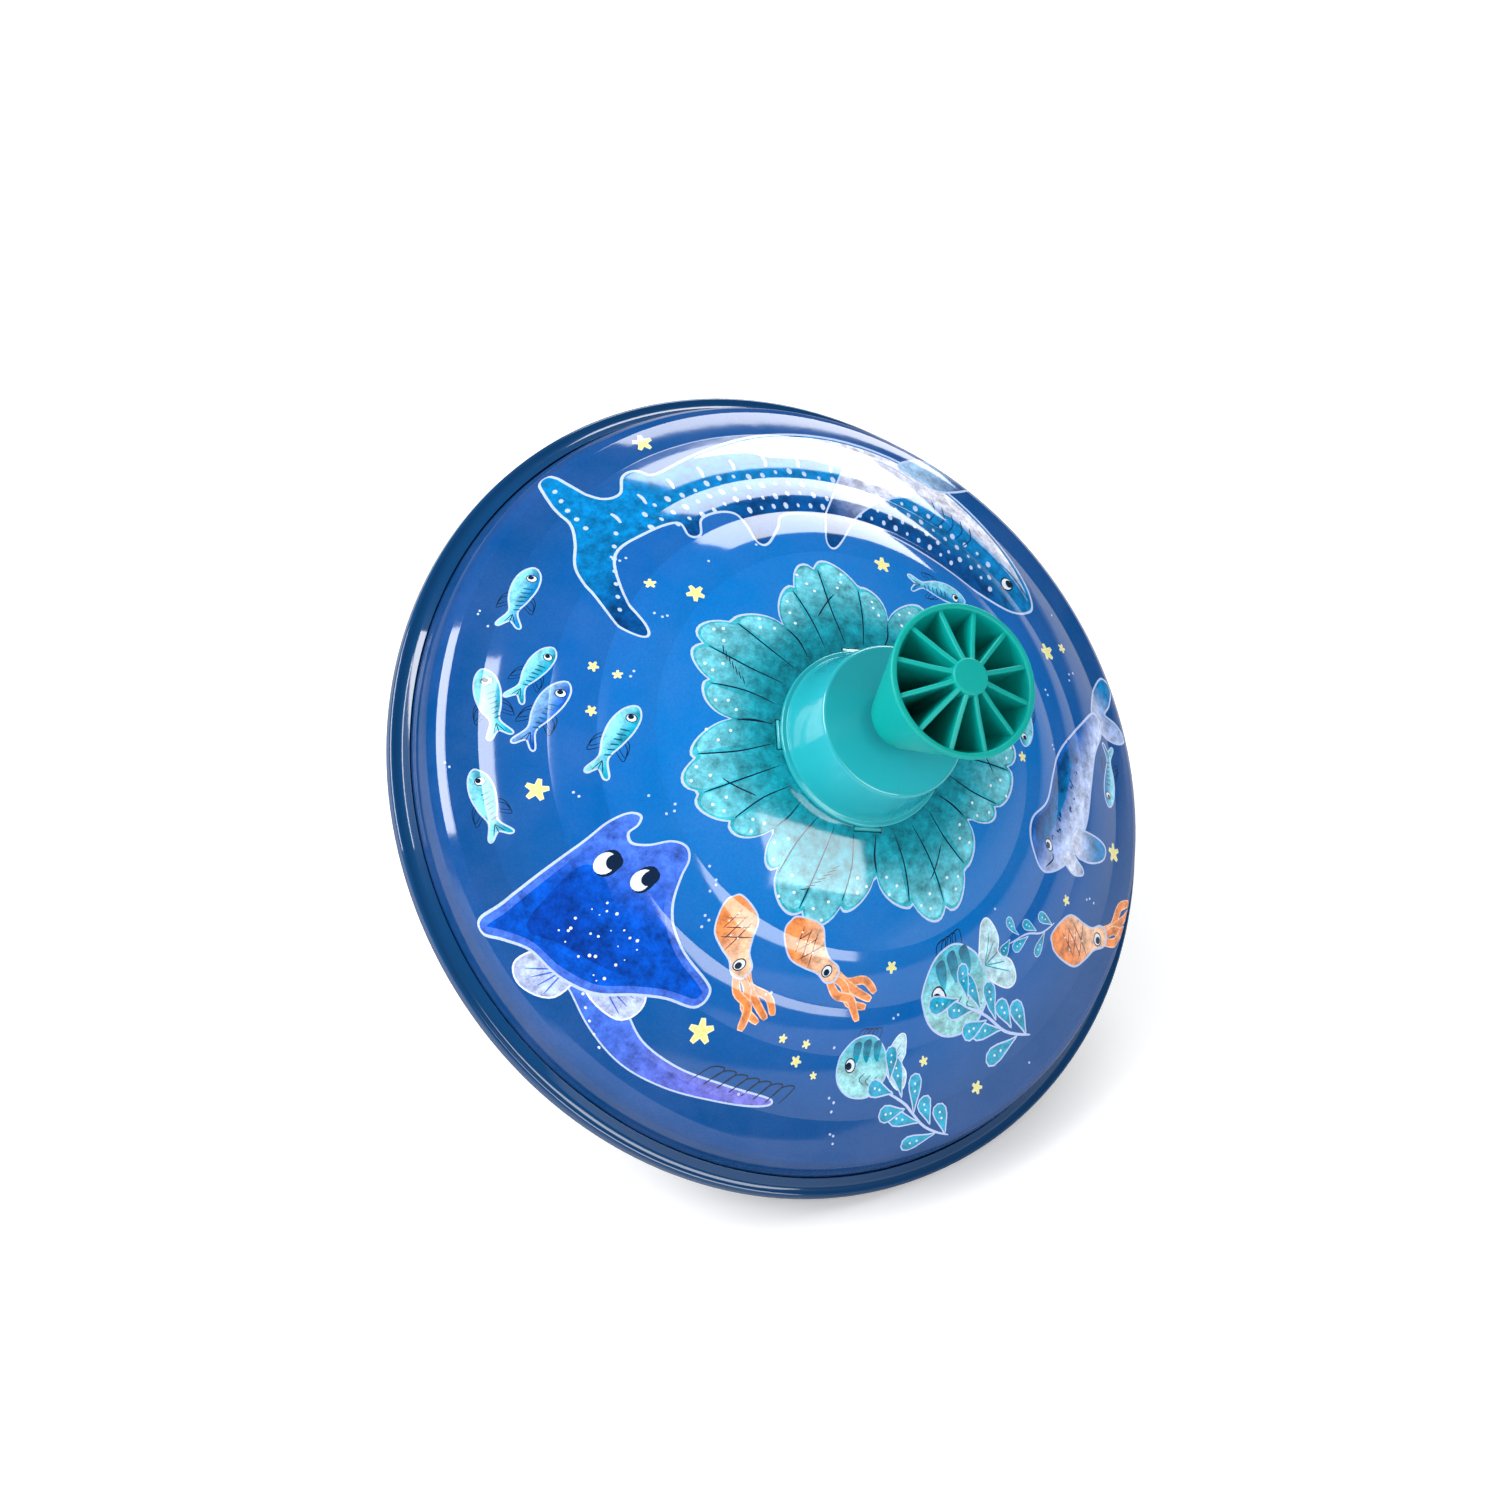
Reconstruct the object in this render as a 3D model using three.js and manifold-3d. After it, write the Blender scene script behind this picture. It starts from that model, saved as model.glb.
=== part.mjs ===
// A pump-action tin spinning top: a stepped, lithographed dome and a plain bowl seamed at the rim,
// a clear moulded collar with a ribbed push knob above it, and a moulded foot below.
// Pushing the knob drives a twisted steel strip down through a slotted nut. On the way down the
// nut's crown teeth grip the ring that is fixed to the body, and on the way up the nut runs free.
// Millimetres, +Z up along the spin axis, origin at the tip of the foot, knob pushed fully down.
import * as THREE from "three";
import { mergeVertices } from "three/addons/utils/BufferGeometryUtils.js";
import Module from "manifold-3d";

const wasm = await Module();
wasm.setup();

// ---- Driving dimensions ----
const RIM_RADIUS = 95; // outside of the rolled rim
const SEAM_HEIGHT = 92; // seam plane above the tip of the foot
const DOME_HEIGHT = 46; // top of the dome above the seam plane
const BOWL_DEPTH = 64; // bottom of the bowl below the seam plane
const TIN = 0.4; // tinplate thickness with its lacquer
const HEM_WIDTH = 2.9; // rolled rim, across
const HEM_RISE = 2.0; // rolled rim, above the seam plane
const SHOULDER_INSET = 6.4; // dome's shoulder, in from the rim
const COLLAR_RADIUS = 20.2; // collar's base flange
const LAND_MARGIN = 1.4; // flat land on the dome, wider than the collar
const COLLAR_TOP_RADIUS = 17.3; // collar's wall at its top
const COLLAR_HEIGHT = 16; // collar, base to face
const COLLAR_WALL = 1.6;
const TAB_COUNT = 4;
const TAB_WIDTH = 6.4;
const TAB_THICK = 1.2;
const TAB_OFFSET = 0.7; // tabs, out from the collar's flange
const TAB_BARB = 0.5;
const TAB_PHASE = 14.5; // degrees, first snap tab
const KNOB_RIM_RADIUS = 17.6;
const KNOB_BASE_RADIUS = 7;
const KNOB_HEIGHT = 30.5; // knob, base to rim
const KNOB_WALL = 1.45;
const KNOB_FLOOR = 3;
const KNOB_LIFT = 2.5; // knob's base above the collar's face at rest
const HUB_RADIUS = 4.2;
const HUB_RISE = 3.3; // hub's flat top above the knob's rim
const RIB_COUNT = 12;
const RIB_THICK = 1.1;
const STRIP_WIDTH = 5;
const STRIP_THICK = 1.6;
const STRIP_PITCH = 60; // one full turn of the twist
const STRIP_SOCKET = 18; // depth of the strip in the knob
const TRAVEL = 85; // knob's stroke
const TUBE_BORE = 5;
const TUBE_WALL = 1;
const STOP_HEIGHT = 8;
const PIN_RADIUS = 0.8;
const PLATE_RADIUS = 17.5;
const PLATE_THICK = 2;
const PLATE_HUB = 12.4; // hub that comes up through the dome's hole
const CLUTCH_RADIUS = 12;
const CLUTCH_BASE = 2;
const TOOTH_COUNT = 12;
const TOOTH_HEIGHT = 1.5;
const NUT_BODY = 5.4;
const FOOT_RADIUS = 16;
const FOOT_NOSE = 2.5; // flat land on the tip
const STEM_RADIUS = 5.3;
const SOCKET_RADIUS = 9.5;

// ---- Clearances ----
const SEAT = 0.1; // between faces that sit on each other
const FIT = 0.3; // round a piece fixed in another
const RUN = 0.4; // round a piece that moves in another
const SLOT_RUN = 0.35; // round the twisted strip in the nut

const SHELL_SIDES = 40;
const ROUND_SIDES = 32;

const seam = SEAM_HEIGHT;
const landRadius = COLLAR_RADIUS + LAND_MARGIN;
const domeTop = seam + DOME_HEIGHT;
const bowlBase = seam - BOWL_DEPTH;
const plateTop = domeTop - TIN - FIT;
const plateBase = plateTop - PLATE_THICK;
const hubTop = domeTop + 1.2;
const ringBase = hubTop + SEAT;
const toothRoot = ringBase + CLUTCH_BASE;
const toothTip = toothRoot + TOOTH_HEIGHT;
const nutTeeth = toothTip + RUN; // nut lifted clear of the ring's teeth, running free
const nutBase = nutTeeth + TOOTH_HEIGHT;
const nutTop = nutBase + NUT_BODY;
const collarBase = domeTop + SEAT;
const collarFace = collarBase + COLLAR_HEIGHT;
const collarCeiling = collarFace - 2.2;
const knobBase = collarFace + KNOB_LIFT;
const knobRim = knobBase + KNOB_HEIGHT;
const knobHubTop = knobRim + HUB_RISE;
const tubeBore = TUBE_BORE;
const tubeRadius = TUBE_BORE + TUBE_WALL;
const rodHole = Math.hypot(STRIP_WIDTH, STRIP_THICK) / 2 + 2 * RUN;
const stopTop = plateBase - RUN - TRAVEL;
const stopBase = stopTop - STOP_HEIGHT;

// ---- Solid helpers ----
function toSolid(geometry, matrix) {
  const g = geometry.index ? geometry.toNonIndexed() : geometry.clone();
  g.deleteAttribute("normal");
  g.deleteAttribute("uv");
  if (matrix) g.applyMatrix4(matrix);
  const merged = mergeVertices(g, 1e-4);
  return new wasm.Manifold(
    new wasm.Mesh({
      numProp: 3,
      vertProperties: merged.attributes.position.array,
      triVerts: new Uint32Array(merged.index.array),
    }),
  );
}
function toGeometry(solid) {
  const m = solid.getMesh();
  const n = m.numProp;
  const v = new Float32Array(m.numVert * 3);
  for (let i = 0; i < m.numVert; i++)
    v.set(m.vertProperties.subarray(i * n, i * n + 3), i * 3);
  const g = new THREE.BufferGeometry()
    .setAttribute("position", new THREE.BufferAttribute(v, 3))
    .setIndex(new THREE.BufferAttribute(m.triVerts, 1))
    .toNonIndexed();
  g.computeVertexNormals();
  return g;
}
// A closed profile of [radius, height] pairs turned about +Z. Listed up the inside and
// down the outside, or the other way round: the turning direction is put right here.
function turned(profile, sides) {
  let area = 0;
  profile.forEach(([r, z], i) => {
    const [r2, z2] = profile[(i + 1) % profile.length];
    area += r * z2 - r2 * z;
  });
  const pts = (area > 0 ? profile : [...profile].reverse()).map(
    ([r, z]) => new THREE.Vector2(r, z),
  );
  const onAxis = pts.findIndex((p, i) => p.x === 0 && pts[(i + pts.length - 1) % pts.length].x === 0);
  const ring = onAxis < 0 ? [...pts, pts[0]] : [...pts.slice(onAxis), ...pts.slice(0, onAxis)];
  const g = new THREE.LatheGeometry(ring, sides);
  return toSolid(g, new THREE.Matrix4().makeRotationX(Math.PI / 2));
}
const ring = (inner, outer, low, high, sides = ROUND_SIDES) =>
  turned([[inner, low], [outer, low], [outer, high], [inner, high]], sides);
const disc = (outer, low, high, sides = ROUND_SIDES) => ring(0, outer, low, high, sides);
// A block reaching out along +X from the axis, then turned round the axis.
function block(x0, x1, width, z0, z1, degrees = 0) {
  const g = new THREE.BoxGeometry(x1 - x0, width, z1 - z0);
  const m = new THREE.Matrix4()
    .makeRotationZ((degrees * Math.PI) / 180)
    .multiply(new THREE.Matrix4().makeTranslation((x0 + x1) / 2, 0, (z0 + z1) / 2));
  return toSolid(g, m);
}
const around = (count, phase, make) =>
  Array.from({ length: count }, (_, i) => make(phase + (360 / count) * i)).reduce((a, b) => a.add(b));

// ---- Tin shells ----
// One terrace of the pressed dome: nearly flat where it leaves the last crease, and steeper towards the next.
function terrace([r0, z0], [r1, z1]) {
  return [1 / 3, 2 / 3, 1].map((t) => [r0 + (r1 - r0) * t, z0 + (z1 - z0) * (0.5 * t + 0.5 * t * t)]);
}
// The sheet's other side, one thickness inside the outer profile.
function offset(line, distance) {
  return line.map(([r, z], i) => {
    const [ra, za] = line[Math.max(i - 1, 0)];
    const [rb, zb] = line[Math.min(i + 1, line.length - 1)];
    const l = Math.hypot(rb - ra, zb - za);
    return [r + ((zb - za) / l) * distance, z - ((rb - ra) / l) * distance];
  });
}

const holeRadius = PLATE_HUB + 2 * FIT;
const shoulder = RIM_RADIUS - SHOULDER_INSET;
const flangeEdge = RIM_RADIUS - 1.5;
const hemInner = RIM_RADIUS - HEM_WIDTH;
const wallBase = hemInner - 1.5;
const dome = (r, h) => [landRadius + (shoulder - landRadius) * r, seam + DOME_HEIGHT * h];
const edges = [
  [landRadius, domeTop],
  dome(0.215, 0.92),
  dome(0.3687, 0.815),
  dome(0.5403, 0.678),
  dome(0.6851, 0.565),
  dome(0.8791, 0.387),
];
const domeOuter = [[holeRadius, domeTop], edges[0]];
for (let i = 1; i < edges.length; i++) domeOuter.push(...terrace(edges[i - 1], edges[i]));
domeOuter.push(
  dome(0.9388, 0.362),
  dome(0.9761, 0.332),
  dome(1, 0.291),
  [shoulder + (wallBase - shoulder) * 0.55, seam + DOME_HEIGHT * 0.23],
  [wallBase - 0.2, seam + DOME_HEIGHT * 0.15],
  [wallBase, seam + 3.4],
  [wallBase + 0.3, seam + 1.5],
  [wallBase + 0.9, seam + 0.7],
  [flangeEdge, seam + 0.6],
);
const domeInner = offset(domeOuter, TIN);
domeInner[0] = [holeRadius, domeTop - TIN];
domeInner[domeInner.length - 1] = [flangeEdge, seam + 0.6 - TIN];
const tabOuter = COLLAR_RADIUS + TAB_OFFSET;
const tabInner = tabOuter - TAB_THICK;
const upperShell = turned([...domeOuter, ...domeInner.reverse()], SHELL_SIDES).subtract(
  around(TAB_COUNT, TAB_PHASE, (a) =>
    block(tabInner - FIT, tabOuter + FIT, TAB_WIDTH + 2 * FIT, domeTop - 4, domeTop + 1, a)),
);

const stemHole = STEM_RADIUS + 2 * FIT;
const bowl = (r, d) => [RIM_RADIUS * r, seam - BOWL_DEPTH * d];
const bowlOuter = [
  [stemHole, bowlBase],
  [FOOT_RADIUS + 1.5, bowlBase],
  bowl(0.221, 0.962),
  bowl(0.263, 0.905),
  bowl(0.421, 0.728),
  bowl(0.442, 0.712),
  bowl(0.632, 0.475),
  bowl(0.653, 0.458),
  bowl(0.822, 0.231),
  bowl(0.842, 0.215),
  bowl(0.911, 0.121),
  [wallBase - 0.3, seam - 4.2],
  [wallBase, seam - 2.8],
  [wallBase + 0.6, seam - 1.5],
  [RIM_RADIUS - 1.1, seam - 1.2],
  [RIM_RADIUS - 0.3, seam - 0.8],
  [RIM_RADIUS, seam],
  [RIM_RADIUS, seam + 0.9],
  [RIM_RADIUS - 0.4, seam + HEM_RISE - 0.4],
  [RIM_RADIUS - 1.2, seam + HEM_RISE],
  [hemInner + 0.7, seam + HEM_RISE],
  [hemInner, seam + HEM_RISE - 0.3],
];
const bowlInner = offset(bowlOuter.slice(0, 13), -TIN);
bowlInner[0] = [stemHole, bowlBase + TIN];
const hemInside = [
  [hemInner, seam + 1.0],
  [flangeEdge + 0.3, seam + 1.0],
  [flangeEdge + 0.5, seam + 0.8],
  [flangeEdge + 0.5, seam + 0.1],
  [flangeEdge + 0.3, seam - 0.1],
  [wallBase + 0.5, seam - 0.3],
];
const lowerShell = turned([...bowlOuter, ...hemInside, ...bowlInner.reverse()], SHELL_SIDES);

// ---- Collar with its snap tabs ----
const collarInner = COLLAR_TOP_RADIUS - COLLAR_WALL;
const collarCup = turned(
  [
    [collarInner + 1, collarBase],
    [COLLAR_RADIUS, collarBase],
    [COLLAR_RADIUS, collarBase + 0.8],
    [COLLAR_RADIUS - 0.3, collarBase + 1.1],
    [COLLAR_RADIUS - 1.1, collarBase + 1.2],
    [COLLAR_TOP_RADIUS, collarFace - 1.3],
    [COLLAR_TOP_RADIUS - 0.3, collarFace - 0.4],
    [COLLAR_TOP_RADIUS - 1.1, collarFace],
    [rodHole, collarFace],
    [rodHole, collarCeiling],
    [collarInner - 0.8, collarCeiling],
    [collarInner, collarCeiling - 0.8],
  ],
  ROUND_SIDES,
);
const tabs = around(TAB_COUNT, TAB_PHASE, (a) =>
  block(tabInner, tabOuter, TAB_WIDTH, domeTop - 3.2, collarBase + 0.8, a).add(
    block(tabInner, tabOuter + TAB_BARB, TAB_WIDTH, domeTop - 3.2, domeTop - TIN - FIT, a),
  ),
);
const collar = collarCup.add(tabs);

// ---- Push knob: an open cone stiffened by thin ribs round a raised hub ----
const knobCone = turned(
  [
    [0, knobBase],
    [KNOB_BASE_RADIUS - 0.8, knobBase],
    [KNOB_BASE_RADIUS, knobBase + 0.8],
    [KNOB_RIM_RADIUS, knobRim - 0.5],
    [KNOB_RIM_RADIUS - 0.4, knobRim],
    [KNOB_RIM_RADIUS - KNOB_WALL, knobRim],
    [KNOB_BASE_RADIUS - KNOB_WALL + 1, knobBase + KNOB_FLOOR],
    [0, knobBase + KNOB_FLOOR],
  ],
  48,
);
const ribShape = new THREE.Shape([
  new THREE.Vector2(HUB_RADIUS - 1.5, knobBase + KNOB_FLOOR - 1),
  new THREE.Vector2(KNOB_BASE_RADIUS - KNOB_WALL + 0.8, knobBase + KNOB_FLOOR - 1),
  new THREE.Vector2(KNOB_RIM_RADIUS - KNOB_WALL + 0.5, knobRim - 0.6),
  new THREE.Vector2(HUB_RADIUS + 4, knobRim + HUB_RISE * 0.42),
  new THREE.Vector2(HUB_RADIUS - 1.5, knobHubTop - 0.3),
]);
const ribs = around(RIB_COUNT, 0, (a) =>
  toSolid(
    new THREE.ExtrudeGeometry(ribShape, { depth: RIB_THICK, bevelEnabled: false }),
    new THREE.Matrix4()
      .makeRotationZ((a * Math.PI) / 180)
      .multiply(new THREE.Matrix4().makeRotationX(Math.PI / 2))
      .multiply(new THREE.Matrix4().makeTranslation(0, 0, -RIB_THICK / 2)),
  ),
);
const hub = turned(
  [
    [0, knobBase + 1],
    [HUB_RADIUS, knobBase + 1],
    [HUB_RADIUS, knobHubTop - 0.4],
    [HUB_RADIUS - 0.5, knobHubTop],
    [0, knobHubTop],
  ],
  24,
);
const knob = knobCone
  .add(ribs)
  .add(hub)
  .subtract(
    block(
      -STRIP_WIDTH / 2 - FIT,
      STRIP_WIDTH / 2 + FIT,
      STRIP_THICK + 2 * FIT,
      knobBase - 1,
      knobBase + STRIP_SOCKET + FIT,
    ),
  );

// ---- Twisted strip: flat tangs at both ends, a steady right-hand twist between them ----
const stripBase = stopBase + 0.6;
const stripTop = knobBase + STRIP_SOCKET;
const twistLow = stopTop + 0.6;
const twistHigh = knobBase - 0.8;
const twistAt = (z) =>
  (2 * Math.PI * (Math.min(Math.max(z, twistLow), twistHigh) - twistHigh)) / STRIP_PITCH;
function twistedStrip(low, high, width, thick) {
  const w = width / 2;
  const t = thick / 2;
  const section = new THREE.Shape(
    [[-w, -t], [0, -t], [w, -t], [w, t], [0, t], [-w, t]].map(([x, y]) => new THREE.Vector2(x, y)),
  );
  const g = new THREE.ExtrudeGeometry(section, {
    depth: high - low,
    steps: Math.round((high - low) / (STRIP_PITCH / 36)),
    bevelEnabled: false,
  });
  const p = g.attributes.position;
  const v = new THREE.Vector3();
  for (let i = 0; i < p.count; i++) {
    v.fromBufferAttribute(p, i);
    v.z += low;
    v.applyAxisAngle(new THREE.Vector3(0, 0, 1), twistAt(v.z));
    p.setXYZ(i, v.x, v.y, v.z);
  }
  return toSolid(g);
}
const pinHeight = stopBase + STOP_HEIGHT / 2;
const lowTwist = (twistAt(twistLow) * 180) / Math.PI;
function pin(radius, half) {
  return toSolid(
    new THREE.CylinderGeometry(radius, radius, 2 * half, 12),
    new THREE.Matrix4()
      .makeTranslation(0, 0, pinHeight)
      .multiply(new THREE.Matrix4().makeRotationZ((lowTwist * Math.PI) / 180)),
  );
}
const twistedRod = twistedStrip(stripBase, stripTop, STRIP_WIDTH, STRIP_THICK).subtract(
  pin(PIN_RADIUS + FIT / 2, STRIP_THICK),
);

// ---- Stop bush and its pin at the strip's lower end ----
const stopRadius = tubeBore - RUN;
const rodStop = turned(
  [
    [0, stopBase],
    [stopRadius - 0.5, stopBase],
    [stopRadius, stopBase + 0.5],
    [stopRadius, stopTop - 0.5],
    [stopRadius - 0.5, stopTop],
    [0, stopTop],
  ],
  ROUND_SIDES,
)
  .subtract(
    block(
      -STRIP_WIDTH / 2 - FIT,
      STRIP_WIDTH / 2 + FIT,
      STRIP_THICK + 2 * FIT,
      stopBase + 0.3,
      stopTop + 1,
      lowTwist,
    ),
  )
  .subtract(pin(PIN_RADIUS + FIT / 2, tubeRadius));
const stopPin = pin(PIN_RADIUS, stopRadius - 0.3);

// ---- One-way clutch: fixed crown ring, and the slotted nut above it ----
// Saw teeth: each rises along a ramp and drops off a steep face.
function crown(inner, outer, root, height, direction) {
  const step = 360 / TOOTH_COUNT;
  return around(TOOTH_COUNT, 0, (a) => {
    const half = outer * Math.tan((step * 0.46 * Math.PI) / 180);
    const sawtooth = new THREE.Shape([
      new THREE.Vector2(-half, root - direction * 0.2),
      new THREE.Vector2(half, root - direction * 0.2),
      new THREE.Vector2(half * 0.9, root + direction * height),
      new THREE.Vector2(half * 0.6, root + direction * height),
      new THREE.Vector2(-half, root),
    ]);
    const g = new THREE.ExtrudeGeometry(sawtooth, { depth: outer - inner, bevelEnabled: false });
    const m = new THREE.Matrix4()
      .makeRotationZ((a * Math.PI) / 180)
      .multiply(new THREE.Matrix4().makeTranslation(inner, 0, 0))
      .multiply(new THREE.Matrix4().makeBasis(
        new THREE.Vector3(0, 1, 0),
        new THREE.Vector3(0, 0, 1),
        new THREE.Vector3(1, 0, 0),
      ));
    return toSolid(g, m);
  });
}
const clutchBore = tubeRadius + 1;
const trim = ring(clutchBore, CLUTCH_RADIUS, ringBase, nutTop);
const clutchRing = ring(clutchBore, CLUTCH_RADIUS, ringBase, toothRoot).add(
  crown(clutchBore - 1, CLUTCH_RADIUS + 1, toothRoot, TOOTH_HEIGHT, 1).intersect(trim),
);
const driveNut = disc(CLUTCH_RADIUS, nutBase, nutTop)
  .add(crown(clutchBore - 1, CLUTCH_RADIUS + 1, nutBase, TOOTH_HEIGHT, -1).intersect(trim))
  .subtract(
    twistedStrip(nutBase - 2, nutTop + 2, STRIP_WIDTH + 2 * SLOT_RUN, STRIP_THICK + 2 * SLOT_RUN),
  );
const washerBase = nutTop + RUN;
const thrustWasher = ring(rodHole + 1.5, CLUTCH_RADIUS - 1.5, washerBase, collarCeiling - SEAT);

// ---- Clutch plate under the dome, guide tube, foot socket and foot ----
const plateSocket = 7;
const spigotTop = ringBase + CLUTCH_BASE * 0.7;
const clutchPlate = turned(
  [
    [rodHole, plateBase],
    [tubeRadius + FIT, plateBase],
    [tubeRadius + FIT, plateBase - plateSocket],
    [tubeRadius + FIT + 1.7, plateBase - plateSocket],
    [tubeRadius + FIT + 1.7, plateBase],
    [PLATE_RADIUS, plateBase],
    [PLATE_RADIUS, plateTop],
    [PLATE_HUB, plateTop],
    [PLATE_HUB, hubTop],
    [clutchBore - FIT, hubTop],
    [clutchBore - FIT, spigotTop],
    [rodHole, spigotTop],
  ],
  ROUND_SIDES,
);
const socketBase = bowlBase + TIN + SEAT;
const webLow = socketBase + 5.6;
const webHigh = webLow + 1.4;
const socketTop = webHigh + 6.5;
const tubeLow = webHigh + FIT;
const guideTube = ring(tubeBore, tubeRadius, tubeLow, plateBase - SEAT);
const footSocket = turned(
  [
    [STEM_RADIUS + FIT, socketBase],
    [FOOT_RADIUS, socketBase],
    [FOOT_RADIUS, socketBase + 1.8],
    [SOCKET_RADIUS, socketBase + 2.6],
    [SOCKET_RADIUS, socketTop],
    [tubeRadius + FIT, socketTop],
    [tubeRadius + FIT, webHigh],
    [2.2, webHigh],
    [2.2, webLow],
    [STEM_RADIUS + FIT, webLow],
  ],
  ROUND_SIDES,
);
const footTop = bowlBase - SEAT;
const foot = turned(
  [
    [0, 0],
    [FOOT_NOSE, 0],
    [FOOT_NOSE + 1.4, 1.9],
    [FOOT_NOSE + 2.9, 4.7],
    [FOOT_NOSE + 4.9, footTop * 0.36],
    [FOOT_NOSE + 7.3, footTop * 0.57],
    [FOOT_RADIUS - 2, footTop - 4.6],
    [FOOT_RADIUS - 0.3, footTop - 2.6],
    [FOOT_RADIUS, footTop - 2],
    [FOOT_RADIUS, footTop],
    [STEM_RADIUS, footTop],
    [STEM_RADIUS, webLow - FIT],
    [0, webLow - FIT],
  ],
  ROUND_SIDES,
);

// ---- Assembly ----
const group = new THREE.Group();
const printedTin = new THREE.MeshStandardMaterial({ color: 0x2a5cb4, roughness: 0.22, metalness: 0.1 });
const navyTin = new THREE.MeshStandardMaterial({ color: 0x123a72, roughness: 0.25, metalness: 0.1 });
const clearTeal = new THREE.MeshStandardMaterial({
  color: 0x3fb3ae,
  roughness: 0.2,
  metalness: 0,
  transparent: true,
  opacity: 0.8,
});
const greenTeal = new THREE.MeshStandardMaterial({ color: 0x00b894, roughness: 0.4, metalness: 0 });
const whitePlastic = new THREE.MeshStandardMaterial({ color: 0xe6e8e6, roughness: 0.5, metalness: 0 });
const steel = new THREE.MeshStandardMaterial({ color: 0xb9bcc0, roughness: 0.3, metalness: 1 });
function place(parent, name, solid, material) {
  const mesh = new THREE.Mesh(toGeometry(solid), material.clone());
  mesh.name = name;
  parent.add(mesh);
}
const housing = new THREE.Group();
place(housing, "upper_shell", upperShell, printedTin);
place(housing, "lower_shell", lowerShell, navyTin);
place(housing, "collar", collar, clearTeal);
place(housing, "clutch_plate", clutchPlate, whitePlastic);
place(housing, "clutch_ring", clutchRing, whitePlastic);
place(housing, "thrust_washer", thrustWasher, steel);
place(housing, "guide_tube", guideTube, steel);
place(housing, "foot_socket", footSocket, whitePlastic);
place(housing, "foot", foot, greenTeal);
const plunger = new THREE.Group();
place(plunger, "knob", knob, greenTeal);
place(plunger, "twisted_rod", twistedRod, steel);
place(plunger, "rod_stop", rodStop, whitePlastic);
place(plunger, "stop_pin", stopPin, steel);
const drive = new THREE.Group();
place(drive, "drive_nut", driveNut, whitePlastic);
group.add(housing, plunger, drive);

export default group;
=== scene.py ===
import math
from math import cos, pi, radians, sin, tau

import bmesh
import bpy
import numpy as np
from mathutils import Matrix, Vector
from mathutils.geometry import delaunay_2d_cdt


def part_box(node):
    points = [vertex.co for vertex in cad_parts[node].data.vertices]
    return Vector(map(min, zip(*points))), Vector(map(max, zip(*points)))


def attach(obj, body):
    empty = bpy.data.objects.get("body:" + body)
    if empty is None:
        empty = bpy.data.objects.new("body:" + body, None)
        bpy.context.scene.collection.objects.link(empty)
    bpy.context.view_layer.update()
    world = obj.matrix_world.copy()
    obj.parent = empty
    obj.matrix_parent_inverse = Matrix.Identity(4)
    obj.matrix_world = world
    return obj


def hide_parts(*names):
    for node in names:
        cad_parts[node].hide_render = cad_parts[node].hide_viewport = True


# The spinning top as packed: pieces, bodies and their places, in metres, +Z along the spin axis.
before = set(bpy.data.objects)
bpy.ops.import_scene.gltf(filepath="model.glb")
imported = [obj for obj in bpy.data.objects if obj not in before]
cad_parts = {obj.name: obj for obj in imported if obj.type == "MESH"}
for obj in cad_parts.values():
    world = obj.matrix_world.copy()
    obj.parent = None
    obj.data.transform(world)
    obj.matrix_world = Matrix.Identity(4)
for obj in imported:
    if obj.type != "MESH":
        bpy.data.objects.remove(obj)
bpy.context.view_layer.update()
MM = 0.001
scene = bpy.context.scene
scene.view_settings.view_transform = "Standard"
RIM_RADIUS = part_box("lower_shell")[1].x / MM
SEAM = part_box("upper_shell")[0].z / MM - 0.2
FOOT_LAND = 2.5

# Where the top lies: on its rolled rim and the edge of its foot. The camera looks down on the dome,
# with the spin axis leaning right, and a long lens well back.
LEAN_SIDE = 129.1
VIEW_TURN = 45.5
VIEW_RISE = 60.2
VIEW_ROLL = 58.9
VIEW_DISTANCE = 1100
AIM_ASIDE = Vector((5.23, -9.55))
camera_data = bpy.data.cameras.new("studio_camera")
camera_data.sensor_width = 36
camera_data.lens = 114.5
camera_data.clip_end = 50
camera = bpy.data.objects.new("studio_camera", camera_data)
scene.collection.objects.link(camera)
scene.camera = camera
facing = (
    Matrix.Rotation(radians(VIEW_TURN + 90), 3, "Z")
    @ Matrix.Rotation(radians(90 - VIEW_RISE), 3, "X")
    @ Matrix.Rotation(radians(VIEW_ROLL), 3, "Z")
)
rim_centre = Vector((0, 0, SEAM))
camera_place = rim_centre + facing @ Vector((-AIM_ASIDE.x, -AIM_ASIDE.y, VIEW_DISTANCE))
camera.matrix_world = Matrix.Translation(camera_place * MM) @ facing.to_4x4()

lean = math.atan2(SEAM - 0.8, RIM_RADIUS - 0.3 - FOOT_LAND)
away = Vector((cos(radians(LEAN_SIDE)), sin(radians(LEAN_SIDE)), 0))
floor_up = Vector((0, 0, cos(lean))) - away * sin(lean)
floor_along = floor_up.orthogonal().normalized()
floor_across = floor_up.cross(floor_along)
FLOOR_GAP = 0.15
floor_rest = away * FOOT_LAND - floor_up * FLOOR_GAP


def new_object(name, mesh):
    made = bpy.data.objects.new(name, mesh)
    scene.collection.objects.link(made)
    return made


def mesh_object(name, bm):
    mesh = bpy.data.meshes.new(name)
    bm.to_mesh(mesh)
    bm.free()
    return new_object(name, mesh)


floor_bm = bmesh.new()
bmesh.ops.create_grid(floor_bm, x_segments=1, y_segments=1, size=6)
floor_turn = Matrix((floor_along, floor_across, floor_up)).transposed().to_4x4()
bmesh.ops.transform(
    floor_bm, matrix=Matrix.Translation(floor_rest * MM) @ floor_turn, verts=floor_bm.verts
)
studio_floor = mesh_object("studio_floor", floor_bm)


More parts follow.
